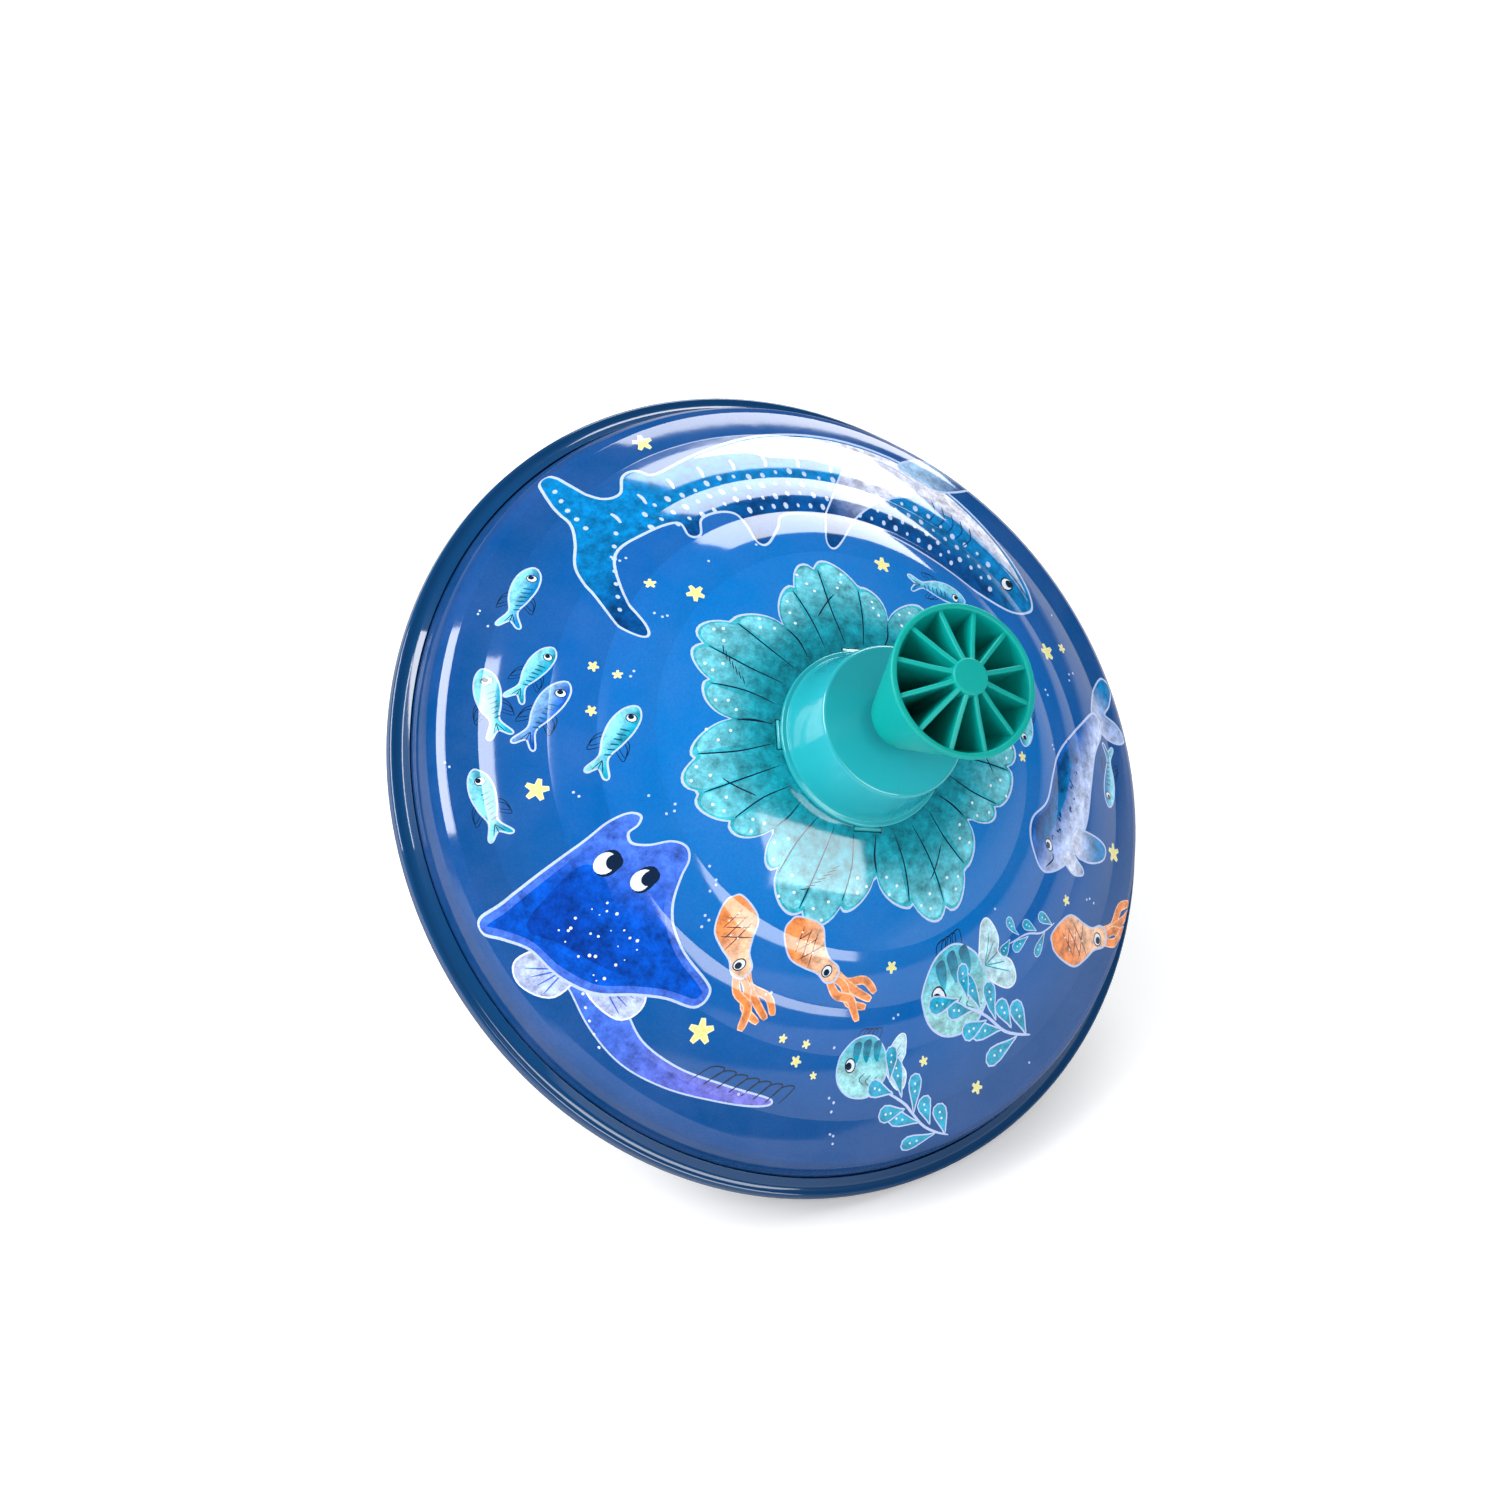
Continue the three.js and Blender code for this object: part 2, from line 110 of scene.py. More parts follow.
class Nodes:
    """Places shader nodes in one tree and links them."""

    def __init__(self, tree):
        self.tree = tree

    def add(self, kind, values=None, **settings):
        node = self.tree.nodes.new(kind)
        for key, value in settings.items():
            setattr(node, key, value)
        for socket, value in (values or {}).items():
            self.feed(node.inputs[socket], value)
        return node

    def feed(self, socket, value):
        if isinstance(value, bpy.types.NodeSocket):
            self.tree.links.new(value, socket)
        else:
            socket.default_value = value

    def math(self, operation, *values):
        node = self.add("ShaderNodeMath", operation=operation)
        for socket, value in zip(node.inputs, values):
            self.feed(socket, value)
        return node.outputs[0]

    def mix(self, factor, first, second, blend="MIX"):
        node = self.add("ShaderNodeMix", data_type="RGBA", blend_type=blend)
        for socket, value in ((0, factor), (6, first), (7, second)):
            self.feed(node.inputs[socket], value)
        return node.outputs[2]

    def noise(self, where, scale, detail, roughness=0.5):
        values = {"Vector": where, "Scale": scale, "Detail": detail, "Roughness": roughness}
        return self.add("ShaderNodeTexNoise", values).outputs["Fac"]

    def grade(self, value, low, high, to_low=0, to_high=1):
        node = self.add("ShaderNodeMapRange", {0: value, 1: low, 2: high, 3: to_low, 4: to_high})
        return node.outputs[0]


def material(name):
    made = bpy.data.materials.new(name)
    made.use_nodes = True
    made.node_tree.nodes.clear()
    return made, Nodes(made.node_tree)


FLOOR_WHITE = (0.9, 0.9, 0.9, 1)
FLOOR_GLOW = 0.25
floor_finish, n = material("studio_white")
paper = n.add("ShaderNodeBsdfDiffuse", {"Color": FLOOR_WHITE}).outputs[0]
dim_paper = n.add("ShaderNodeBsdfDiffuse", {"Color": (0.42, 0.43, 0.45, 1)}).outputs[0]
glow = n.add("ShaderNodeEmission", {"Color": (1, 1, 1, 1), "Strength": FLOOR_GLOW}).outputs[0]
lit = n.add("ShaderNodeAddShader", {0: paper, 1: glow}).outputs[0]
path = n.add("ShaderNodeLightPath")
plain = n.add("ShaderNodeMixShader", {0: path.outputs["Is Glossy Ray"], 1: paper, 2: dim_paper})
seen = n.add(
    "ShaderNodeMixShader", {0: path.outputs["Is Camera Ray"], 1: plain.outputs[0], 2: lit}
).outputs[0]
under = n.add("ShaderNodeNewGeometry").outputs["Backfacing"]
clear = n.add("ShaderNodeBsdfTransparent").outputs[0]
sheet = n.add("ShaderNodeMixShader", {0: under, 1: seen, 2: clear}).outputs[0]
n.add("ShaderNodeOutputMaterial", {"Surface": sheet})
studio_floor.data.materials.append(floor_finish)

# Soft studio light: a white surround to look at, a dim fill that is stronger from the left, and
# four softboxes. They stand behind, at the upper left, low on the left, and at the right front.
world = bpy.data.worlds.new("studio")
scene.world = world
world.use_nodes = True
world.node_tree.nodes.clear()
n = Nodes(world.node_tree)
path = n.add("ShaderNodeLightPath")
FILL = 0.38
SIDE_FILL = 0.75
SURROUND = 0.06
side = n.add("ShaderNodeVectorMath", operation="DOT_PRODUCT")
n.feed(side.inputs[0], n.add("ShaderNodeTexCoord").outputs["Generated"])
side.inputs[1].default_value = facing @ Vector((-0.82, -0.25, 0.51))
from_side = n.math("MULTIPLY", n.math("MAXIMUM", side.outputs["Value"], 0), SIDE_FILL)
fill = n.add(
    "ShaderNodeBackground",
    {"Color": (0.99, 0.99, 1, 1), "Strength": n.math("ADD", from_side, FILL)},
).outputs[0]
around = n.add("ShaderNodeBackground", {"Color": (1, 1, 1, 1), "Strength": SURROUND}).outputs[0]
white = n.add("ShaderNodeBackground", {"Color": (1, 1, 1, 1), "Strength": 1}).outputs[0]
mirrored = n.math("MAXIMUM", path.outputs["Is Glossy Ray"], path.outputs["Is Transmission Ray"])
both = n.add("ShaderNodeMixShader", {0: mirrored, 1: fill, 2: around}).outputs[0]
sky = n.add("ShaderNodeMixShader", {0: path.outputs["Is Camera Ray"], 1: both, 2: white}).outputs[0]
n.add("ShaderNodeOutputWorld", {"Surface": sky})


def softbox(name, first, last, breadth, radiance, distance=1300):
    """A long lamp between two directions seen from the camera: right, up, back to the eye."""
    first, last = Vector(first).normalized(), Vector(last).normalized()
    toward = facing @ (first + last).normalized()
    along = facing @ (last - first).normalized()
    data = bpy.data.lights.new(name, "AREA")
    data.shape = "RECTANGLE"
    data.size = 2 * distance * math.tan(first.angle(last) / 2) * MM
    data.size_y = 2 * distance * math.tan(radians(breadth) / 2) * MM
    data.energy = radiance * pi * data.size * data.size_y
    lamp = bpy.data.objects.new(name, data)
    scene.collection.objects.link(lamp)
    turn = Matrix((along, toward.cross(along), toward)).transposed().to_4x4()
    lamp.matrix_world = Matrix.Translation((rim_centre + toward * distance) * MM) @ turn


softbox("back_softbox", (0.074, 0.997, 0.010), (0.498, 0.679, -0.539), 20, 6.5)
softbox("left_softbox", (-0.53, 0.17, 0.83), (-0.50, 0.69, 0.53), 9.5, 8)
softbox("side_softbox", (-0.76, 0.08, 0.645), (-0.62, 0.72, 0.31), 17, 9)
softbox("right_softbox", (0.38, -0.01, 0.925), (0.77, -0.01, 0.64), 22, 5)


# Shared steps for turned pieces: a section with its corners rounded, then spun about the axis.
def rounded(corners, arc=5):
    """Section corners (radius, height, fillet) in mm; each fillet becomes a short arc."""
    line = []
    count = len(corners)
    for i, (r, z, fillet) in enumerate(corners):
        here = Vector((r, z))
        if fillet <= 0:
            line.append(here)
            continue
        back = Vector(corners[i - 1][:2]) - here
        on = Vector(corners[(i + 1) % count][:2]) - here
        half = back.angle(on) / 2
        reach = min(fillet / math.tan(half), back.length * 0.48, on.length * 0.48)
        radius = reach * math.tan(half)
        middle = here + (back.normalized() + on.normalized()).normalized() * (radius / sin(half))
        first = here + back.normalized() * reach - middle
        last = here + on.normalized() * reach - middle
        sweep = first.angle_signed(last)
        for k in range(arc + 1):
            line.append(middle + Matrix.Rotation(-sweep * k / arc, 2) @ first)
    return line


def spun(line, steps):
    """A closed solid of revolution from a section given in mm."""
    bm = bmesh.new()
    verts = [bm.verts.new((p.x * MM, 0, p.y * MM)) for p in line]
    edges = [bm.edges.new(pair) for pair in zip(verts, verts[1:])]
    if line[0].x > 1e-6 or line[-1].x > 1e-6:
        edges.append(bm.edges.new((verts[-1], verts[0])))
    bmesh.ops.spin(
        bm,
        geom=verts + edges,
        cent=(0, 0, 0),
        axis=(0, 0, 1),
        dvec=(0, 0, 0),
        angle=tau,
        steps=steps,
        use_merge=True,
        use_duplicate=False,
    )
    bmesh.ops.remove_doubles(bm, verts=bm.verts, dist=2e-6)
    bmesh.ops.recalc_face_normals(bm, faces=bm.faces)
    return bm


def smooth_faces(piece):
    """Smooth shading that keeps the broad faces true beside their small fillets."""
    piece.data.shade_smooth()
    even = piece.modifiers.new("even_normals", "WEIGHTED_NORMAL")
    even.keep_sharp = True
    even.weight = 60


# One group gives moulded and lacquered pieces their small unevenness: a cloud of colour,
# a change in polish and a faint ripple of the surface.
handled = bpy.data.node_groups.new("handled_surface", "ShaderNodeTree")
for socket, start in (
    ("Color", (0.5, 0.5, 0.5, 1)), ("Cloud Scale", 60), ("Cloud", 0.08), ("Polish", 0.3),
    ("Polish Change", 0.08),
):
    kind = "NodeSocketColor" if socket == "Color" else "NodeSocketFloat"
    handled.interface.new_socket(socket, in_out="INPUT", socket_type=kind).default_value = start
for socket, kind in (
    ("Color", "NodeSocketColor"), ("Roughness", "NodeSocketFloat"), ("Height", "NodeSocketFloat")
):
    handled.interface.new_socket(socket, in_out="OUTPUT", socket_type=kind)
g = Nodes(handled)
given = g.add("NodeGroupInput").outputs
where = g.add("ShaderNodeTexCoord").outputs["Object"]
cloud = g.noise(where, given["Cloud Scale"], 4)
fine = g.noise(where, 900, 3)
swing = g.math("MULTIPLY", g.math("SUBTRACT", cloud, 0.5), g.math("MULTIPLY", given["Cloud"], 4))
lift = g.math("ADD", 1, swing)
tinted = g.add("ShaderNodeVectorMath", {0: given["Color"], "Scale": lift}, operation="SCALE")
change = g.math("MULTIPLY", g.math("SUBTRACT", fine, 0.5), given["Polish Change"])
worn = g.math("MULTIPLY", g.math("SUBTRACT", cloud, 0.5), given["Polish Change"])
rough = g.math("ADD", given["Polish"], g.math("ADD", change, worn))
g.add(
    "NodeGroupOutput",
    {"Color": tinted.outputs[0], "Roughness": rough, "Height": g.math("ADD", cloud, fine)},
)


def finish_with(name, colour, polish, cloud=0.08, scale=60, change=0.08, ripple=0.02, **settings):
    """A material with the handled surface and the given Principled settings."""
    made, n = material(name)
    surface = n.add(
        "ShaderNodeGroup",
        {"Color": colour + (1,), "Cloud Scale": scale, "Cloud": cloud, "Polish": polish,
         "Polish Change": change},
        node_tree=handled,
    ).outputs
    bump = n.add(
        "ShaderNodeBump", {"Strength": ripple, "Distance": 0.0004, "Height": surface["Height"]}
    ).outputs[0]
    shader = n.add(
        "ShaderNodeBsdfPrincipled",
        {"Base Color": surface["Color"], "Roughness": surface["Roughness"], "Normal": bump},
    )
    for socket, value in settings.items():
        shader.inputs[socket.replace("_", " ")].default_value = value
    n.add("ShaderNodeOutputMaterial", {"Surface": shader.outputs[0]})
    return made


def dress(node, finish):
    """Gives a carried-over piece its material."""
    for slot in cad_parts[node].material_slots:
        slot.material = finish


# Lower shell: a plain cone of tinplate, lacquered navy inside and out, pressed with shallow steps.
# Its edge is folded over the dome's flange as a flat rim, with its lip curled up at the dome's wall.
TIN = 0.4
BOWL = 64
STEM_HOLE = 5.9
bowl_line = [
    (STEM_HOLE, -BOWL, 0), (17.5, -BOWL, 1.5), (21, -BOWL * 0.962, 2),
    (25, -BOWL * 0.905, 1), (40, -BOWL * 0.728, 2), (42, -BOWL * 0.712, 2),
    (60, -BOWL * 0.475, 2), (62, -BOWL * 0.458, 2), (78.1, -BOWL * 0.231, 2),
    (80, -BOWL * 0.215, 2), (86.5, -BOWL * 0.121, 3), (90.3, -4, 1), (90.7, -2.6, 0.6),
    (91.4, -1.5, 0.5),
]
hem_line = [
    (93.6, -1.3, 0.5), (95, -0.9, 0.6), (95, 1.95, 0.75), (92.9, 1.75, 2.6),
    (90.95, 3.6, 0.1), (90.85, 3.3, 0.1), (92.3, 1.35, 0.6), (93.9, 1.05, 0.1), (94.1, -0.1, 0.1),
    (91.2, -0.4, 0.3),
]
inside_line = [(r - 0.25, z + 0.32, fillet) for r, z, fillet in reversed(bowl_line[1:-1])]
section = bowl_line + hem_line + inside_line + [(STEM_HOLE, -BOWL + TIN, 0)]
section = [(r, z + SEAM, fillet) for r, z, fillet in section]
bowl = mesh_object("tin_bowl", spun(rounded(section, 4), 180))
smooth_faces(bowl)
NAVY = (0, 0.046, 0.15)
navy_lacquer = finish_with(
    "navy_lacquer", NAVY, 0.3, cloud=0.06, scale=45, change=0.04, ripple=0.003,
    Coat_Weight=1, Coat_Roughness=0.04, Coat_IOR=1.7, Specular_IOR_Level=0.1,
)
bowl.data.materials.append(navy_lacquer)
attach(bowl, "housing")
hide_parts("lower_shell")

# Printed dome: tinplate pressed into convex terraces, with a printed picture of sea creatures under
# a clear gloss coat. The artwork is cut into the sheet as coloured patches. Plain inside.
def shown(red, green, blue, kind=1):
    """A printing ink from its display values, with its kind: 0 ground, 1 painted, 0.5 line."""
    linear = [((v / 255 + 0.055) / 1.055) ** 2.4 if v > 10 else v / 3294.6 for v in (red, green, blue)]
    return linear + [kind]


def smooth_line(points, closed=True, steps=6):
    """A smooth line through the given points; a doubled point makes a corner."""
    points = [Vector(p) for p in points]
    count = len(points)
    line = []
    for i in range(count if closed else count - 1):
        b, c = points[i], points[(i + 1) % count]
        if (c - b).length < 1e-6:
            continue
        a = points[i - 1] if closed or i else b
        d = points[(i + 2) % count] if closed or i + 2 < count else c
        for k in range(steps):
            t = k / steps
            line.append(
                0.5
                * (
                    2 * b
                    + (c - a) * t
                    + (2 * a - 5 * b + 4 * c - d) * t * t
                    + (3 * b - a - 3 * c + d) * t * t * t
                )
            )
    if not closed:
        line.append(points[-1])
    return line


def drop_line(x, y, length, width, turn=0, sides=14):
    """A teardrop with its point at x, y and its round end turned by the angle."""
    line = []
    for k in range(sides):
        a = tau * k / sides
        reach = (1 - cos(a)) / 2
        line.append((reach * length, sin(a) * reach ** 1.2 * width / 1.55))
    wheel = Matrix.Rotation(radians(turn), 2)
    return [wheel @ Vector(p) + Vector((x, y)) for p in line]


def oval_line(x, y, length, width, turn=0, sides=14):
    """An oval round a middle point, its length turned by the angle."""
    wheel = Matrix.Rotation(radians(turn), 2)
    half = (length / 2, width / 2)
    around = [(half[0] * cos(tau * k / sides), half[1] * sin(tau * k / sides)) for k in range(sides)]
    return [wheel @ Vector(p) + Vector((x, y)) for p in around]


def star_line(x, y, size, turn=0):
    """A five-pointed star with soft points."""
    line = []
    for k in range(10):
        reach = size if k % 2 == 0 else size * 0.45
        a = radians(turn) + tau * k / 10
        if k % 2 == 0:
            line += [
                Vector((x + reach * cos(a + s), y + reach * sin(a + s))) for s in (-0.12, 0.12)
            ]
        else:
            line.append(Vector((x + reach * cos(a), y + reach * sin(a))))
    return line


def stroke_line(points, width, taper=0.35, steps=5):
    """The outline of a brush stroke along the points, thinner at its ends."""
    line = smooth_line(points, closed=False, steps=steps)
    left = []
    right = []
    last = len(line) - 1
    for i, here in enumerate(line):
        run = (line[min(i + 1, last)] - line[max(i - 1, 0)]).normalized()
        across = Vector((-run.y, run.x))
        swell = taper + (1 - taper) * sin(pi * i / last) ** 0.5
        left.append(here + across * width * swell / 2)
        right.append(here - across * width * swell / 2)
    return left + right[::-1]


def grown_line(line, margin):
    """The outline moved outward by a margin."""
    count = len(line)
    area = sum(line[i - 1].cross(line[i]) for i in range(count))
    side = -1 if area > 0 else 1
    grown = []
    for i, here in enumerate(line):
        run = (line[(i + 1) % count] - line[i - 1]).normalized()
        grown.append(here + Vector((-run.y, run.x)) * margin * side)
    return grown


class Artwork:
    """Patches in printing order, laid out flat: x clockwise and y outward, in mm, about a spot."""

    def __init__(self):
        self.patches = []
        self.spot = (0, 50, 0, 1, 1)

    def at(self, clockwise, radius, turn=0, size=1, mirror=1):
        self.spot = (clockwise, radius, turn, size, mirror)

    def laid(self, point):
        clockwise, radius, turn, size, mirror = self.spot
        flat = Matrix.Rotation(radians(turn), 2) @ Vector((point[0], point[1] * mirror)) * size
        reach = radius + flat.y
        angle = radians(VIEW_TURN - clockwise) - flat.x / radius
        return Vector((reach * cos(angle), reach * sin(angle)))

    def patch(self, line, ink, second=None, start=None, end=None):
        """An inked patch; with a second ink, it changes from start to end."""
        if second is not None:
            start, end = self.laid(start), self.laid(end)
        outline = np.array([self.laid(p) for p in line])
        self.patches.append((outline, ink, second, start, end))

    def banded(self, line, ink, second, start, end):
        """An inked patch that changes with the distance from the spin axis."""
        outline = np.array([self.laid(p) for p in line])
        self.patches.append((outline, ink, second, start, end))

    def edged(self, line, edge, width, *inks):
        self.patch(grown_line(line, width), edge)
        self.patch(line, *inks)

    def stroke(self, points, width, ink, taper=0.35, steps=5):
        self.patch(stroke_line(points, width, taper, steps), ink)

    def dots(self, places, size, ink):
        for x, y in places:
            self.patch(oval_line(x, y, size, size, sides=7), ink)


INK = shown(12, 34, 62, 0.5)
PALE = shown(186, 204, 240, 0.5)
MILK = shown(226, 236, 246, 0.5)
LIT_TEAL = shown(130, 212, 232)
TEAL = shown(14, 148, 178)
DEEP_TEAL = shown(4, 98, 132)
SEA_BLUE = shown(0, 118, 182)
NIGHT_BLUE = shown(0, 70, 134)
VIOLET = shown(66, 108, 214)
ROYAL = shown(0, 76, 186)
ORANGE = shown(232, 138, 78)
PEACH = shown(240, 190, 156)
YELLOW = shown(232, 228, 150, 0.5)
art = Artwork()


def eye(x, y, size, turn=0, look=(0.25, 0)):
    art.patch(oval_line(x, y, size * 1.18, size * 1, turn), INK)
    art.patch(oval_line(x, y, size * 0.98, size * 0.8, turn), MILK)
    art.patch(oval_line(x + look[0] * size, y + look[1] * size, size * 0.6, size * 0.55, turn), INK)


# The rosette of scalloped petals round the collar.
FANS = (12, 63, 114, 165, 216, 270, 323)
LOBES = 4


def fan_edge(fan, t):
    """Petal edge radius at t, from -1 to 1 across one fan."""
    arch = 29.6 + 9.6 * max(0, 1 - abs(t) ** 1.7) ** 0.75
    lobe = abs(sin(pi * LOBES / 2 * (t + 0.06 * sin(fan + 5 * t)))) ** 0.5
    return arch + 3.6 * lobe * (1 - 0.4 * abs(t)) + 1.2 * (1 - t * t) * sin(fan * 3.1 + t * 4)


def spot(clockwise, radius):
    """A place of the rosette, for artwork laid at radius 30."""
    return Vector((radians(clockwise) * 30, radius - 30))


art.at(0, 30)
mid = [FANS[i] + ((FANS[(i + 1) % 7] - FANS[i]) % 360) / 2 for i in range(7)]
edge = []
for i, fan in enumerate(FANS):
    before = (fan - mid[i - 1]) % 360
    after = (mid[i] - fan) % 360
    for k in range(-20, 20):
        t = k / 20
        clockwise = fan + t * (before if t < 0 else after)
        edge.append((clockwise, fan_edge(fan, t)))
art.patch([spot(c, r + 0.55) for c, r in edge], PALE)
art.banded([spot(c, r) for c, r in edge], shown(14, 132, 150), shown(60, 172, 190), 22, 40)
for i, fan in enumerate(FANS):
    before = (fan - mid[i - 1]) % 360
    after = (mid[i] - fan) % 360
    for lobe in range(LOBES):
        t = (2 * lobe - LOBES + 1) / LOBES
        spread = before if t < 0 else after
        tip = fan_edge(fan, t)
        petal = []
        for k in range(-7, 8):
            s = t + k / 7 * 0.92 / LOBES
            petal.append(spot(fan + s * spread, fan_edge(fan, s) - 0.5 - 0.9 * abs(k / 7) ** 3))
        for k in range(6, -7, -1):
            s = t + k / 7 * 0.8 / LOBES
            petal.append(spot(fan + s * spread, 26 + 0.12 * abs(k) + 1.5 * sin(fan + lobe * 2)))
        art.banded(petal, shown(20, 140, 158), shown(112, 196, 212), 25, tip + 2)
        for k in range(3):
            c = fan + (t + (0.35 * sin(fan + lobe * 3 + k * 2.4)) / LOBES) * spread
            r = tip - 1.6 - 2.1 * k - 0.7 * sin(fan * 1.7 + lobe + k)
            art.patch(oval_line(*spot(c, r), 22.5 / r, 0.7, sides=7), MILK)
    for lobe in range(LOBES + 1):
        t = (2 * lobe - LOBES) / LOBES
        spread = before if t < 0 else after
        c = fan + t * spread
        top = fan_edge(fan, max(-1, min(1, t))) - 1
        bend = 1.2 * sin(fan + lobe * 1.9)
        vein = [spot(c - bend * 0.6, 22), spot(c + bend, 26 + (top - 30) * 0.4), spot(c, top)]
        art.stroke(vein, 0.34, INK)
    for k in range(7):
        c = fan - 9 + 1.4 * k
        r = 29.5 + 1.1 * k * (1 if int(fan) % 2 else 0.6)
        art.stroke([spot(c, r), spot(c + 3.2, r + 1.2)], 0.22, INK)


# A round-eyed ray with a long tail.
def sea_ray():
    tail = [
        (-5, 9.5), (-12, 9.6), (-18, 10.2), (-25, 12.8), (-33.4, 13.2), (-41.5, 12.4),
        (-50, 12), (-53, 12.4), (-51, 13.6), (-42, 15.6), (-33, 17.8), (-24.5, 18.8),
        (-16.5, 17.4), (-9.5, 15), (-2.5, 13.5),
    ]
    art.edged(smooth_line(tail), PALE, 0.4, shown(112, 112, 208), VIOLET, (-50, 12), (-14, 12))
    for k in range(7):
        x = -37 - 2.5 * k
        y = 13.4 - 0.1 * k
        art.stroke([(x, y), (x - 2, y - 3.4), (x - 4.6, y - 4), (x - 2.4, y - 0.2)], 0.3, INK)
    for side in (0, 1):
        fin = [(-9, 6), (-16.5, 3.6), (-20.5, 7.6), (-18.6, 12.4), (-10, 12.4)]
        if side:
            fin = [(-7, 10), (-1, 12.5), (0.6, 20.6), (-3, 23), (-8, 18.5)]
        art.edged(smooth_line(fin), MILK, 0.35, shown(176, 190, 232))
        for k in range(4):
            if side:
                art.stroke([(-5.6, 12.5), (-6.6 + 1.8 * k, 20)], 0.3, VIOLET)
            else:
                art.stroke([(-10.2, 9.2), (-18.4, 5.6 + 2 * k)], 0.3, VIOLET)
    wing = [
        (13.2, -9.8), (10.2, -9.6), (7.6, -12.4), (5.6, -16.6), (2.2, -18.6), (-1.4, -17.6),
        (-4.2, -14.2), (-9.4, -9.4), (-18, -5.4), (-27.4, -3.4), (-30, -1.8), (-29.2, 1.4),
        (-23, 3.4), (-17.5, 7), (-12, 12), (-5, 15), (1, 16.6), (5, 20.6),
        (7.4, 24), (9.4, 23.2), (10.2, 17), (12.4, 8), (14.8, -1), (17.2, -7.2),
        (17.6, -11.2), (16, -13), (14.2, -12),
    ]
    line = smooth_line(wing)
    art.patch(grown_line(line, 0.55), PALE)
    art.patch(line, VIOLET)
    inner = grown_line(line, -1.4)
    art.patch(inner, VIOLET, ROYAL, (5, -13), (-3, 0))
    saddle = [(-22, -1.5), (-12, -3.5), (-3, -1), (6, -2), (10.5, 0.5), (8, 9),
              (4.5, 15), (-1, 11.5), (-9, 8), (-16, 4.5)]
    art.patch(smooth_line(saddle), ROYAL, shown(0, 58, 156), (0, -3), (0, 10))
    for k in range(26):
        x = -7 + 6.5 * sin(k * 2.4) + 2
        y = 5 + 5.5 * cos(k * 1.7 + 0.4)
        size = 0.5 + 0.22 * sin(k * 5.1)
        art.patch(oval_line(x, y, size, size, sides=7), MILK)
    for k in range(5):
        art.patch(oval_line(-11 - 2.2 * k, 13.6 + 1.4 * k, 0.6, 0.6, sides=7), MILK)
    for x, y in ((0.6, -8.6), (8.4, -4)):
        art.patch(oval_line(x, y, 6.4, 5.2, -60, 18), INK)
        art.patch(oval_line(x + 0.3, y + 0.6, 5.1, 4.5, -60, 18), MILK)
        art.patch(oval_line(x - 0.5, y - 1.2, 3.7, 3.7, -60, 16), INK)


art.at(-2, 66, 0, 1)
sea_ray()


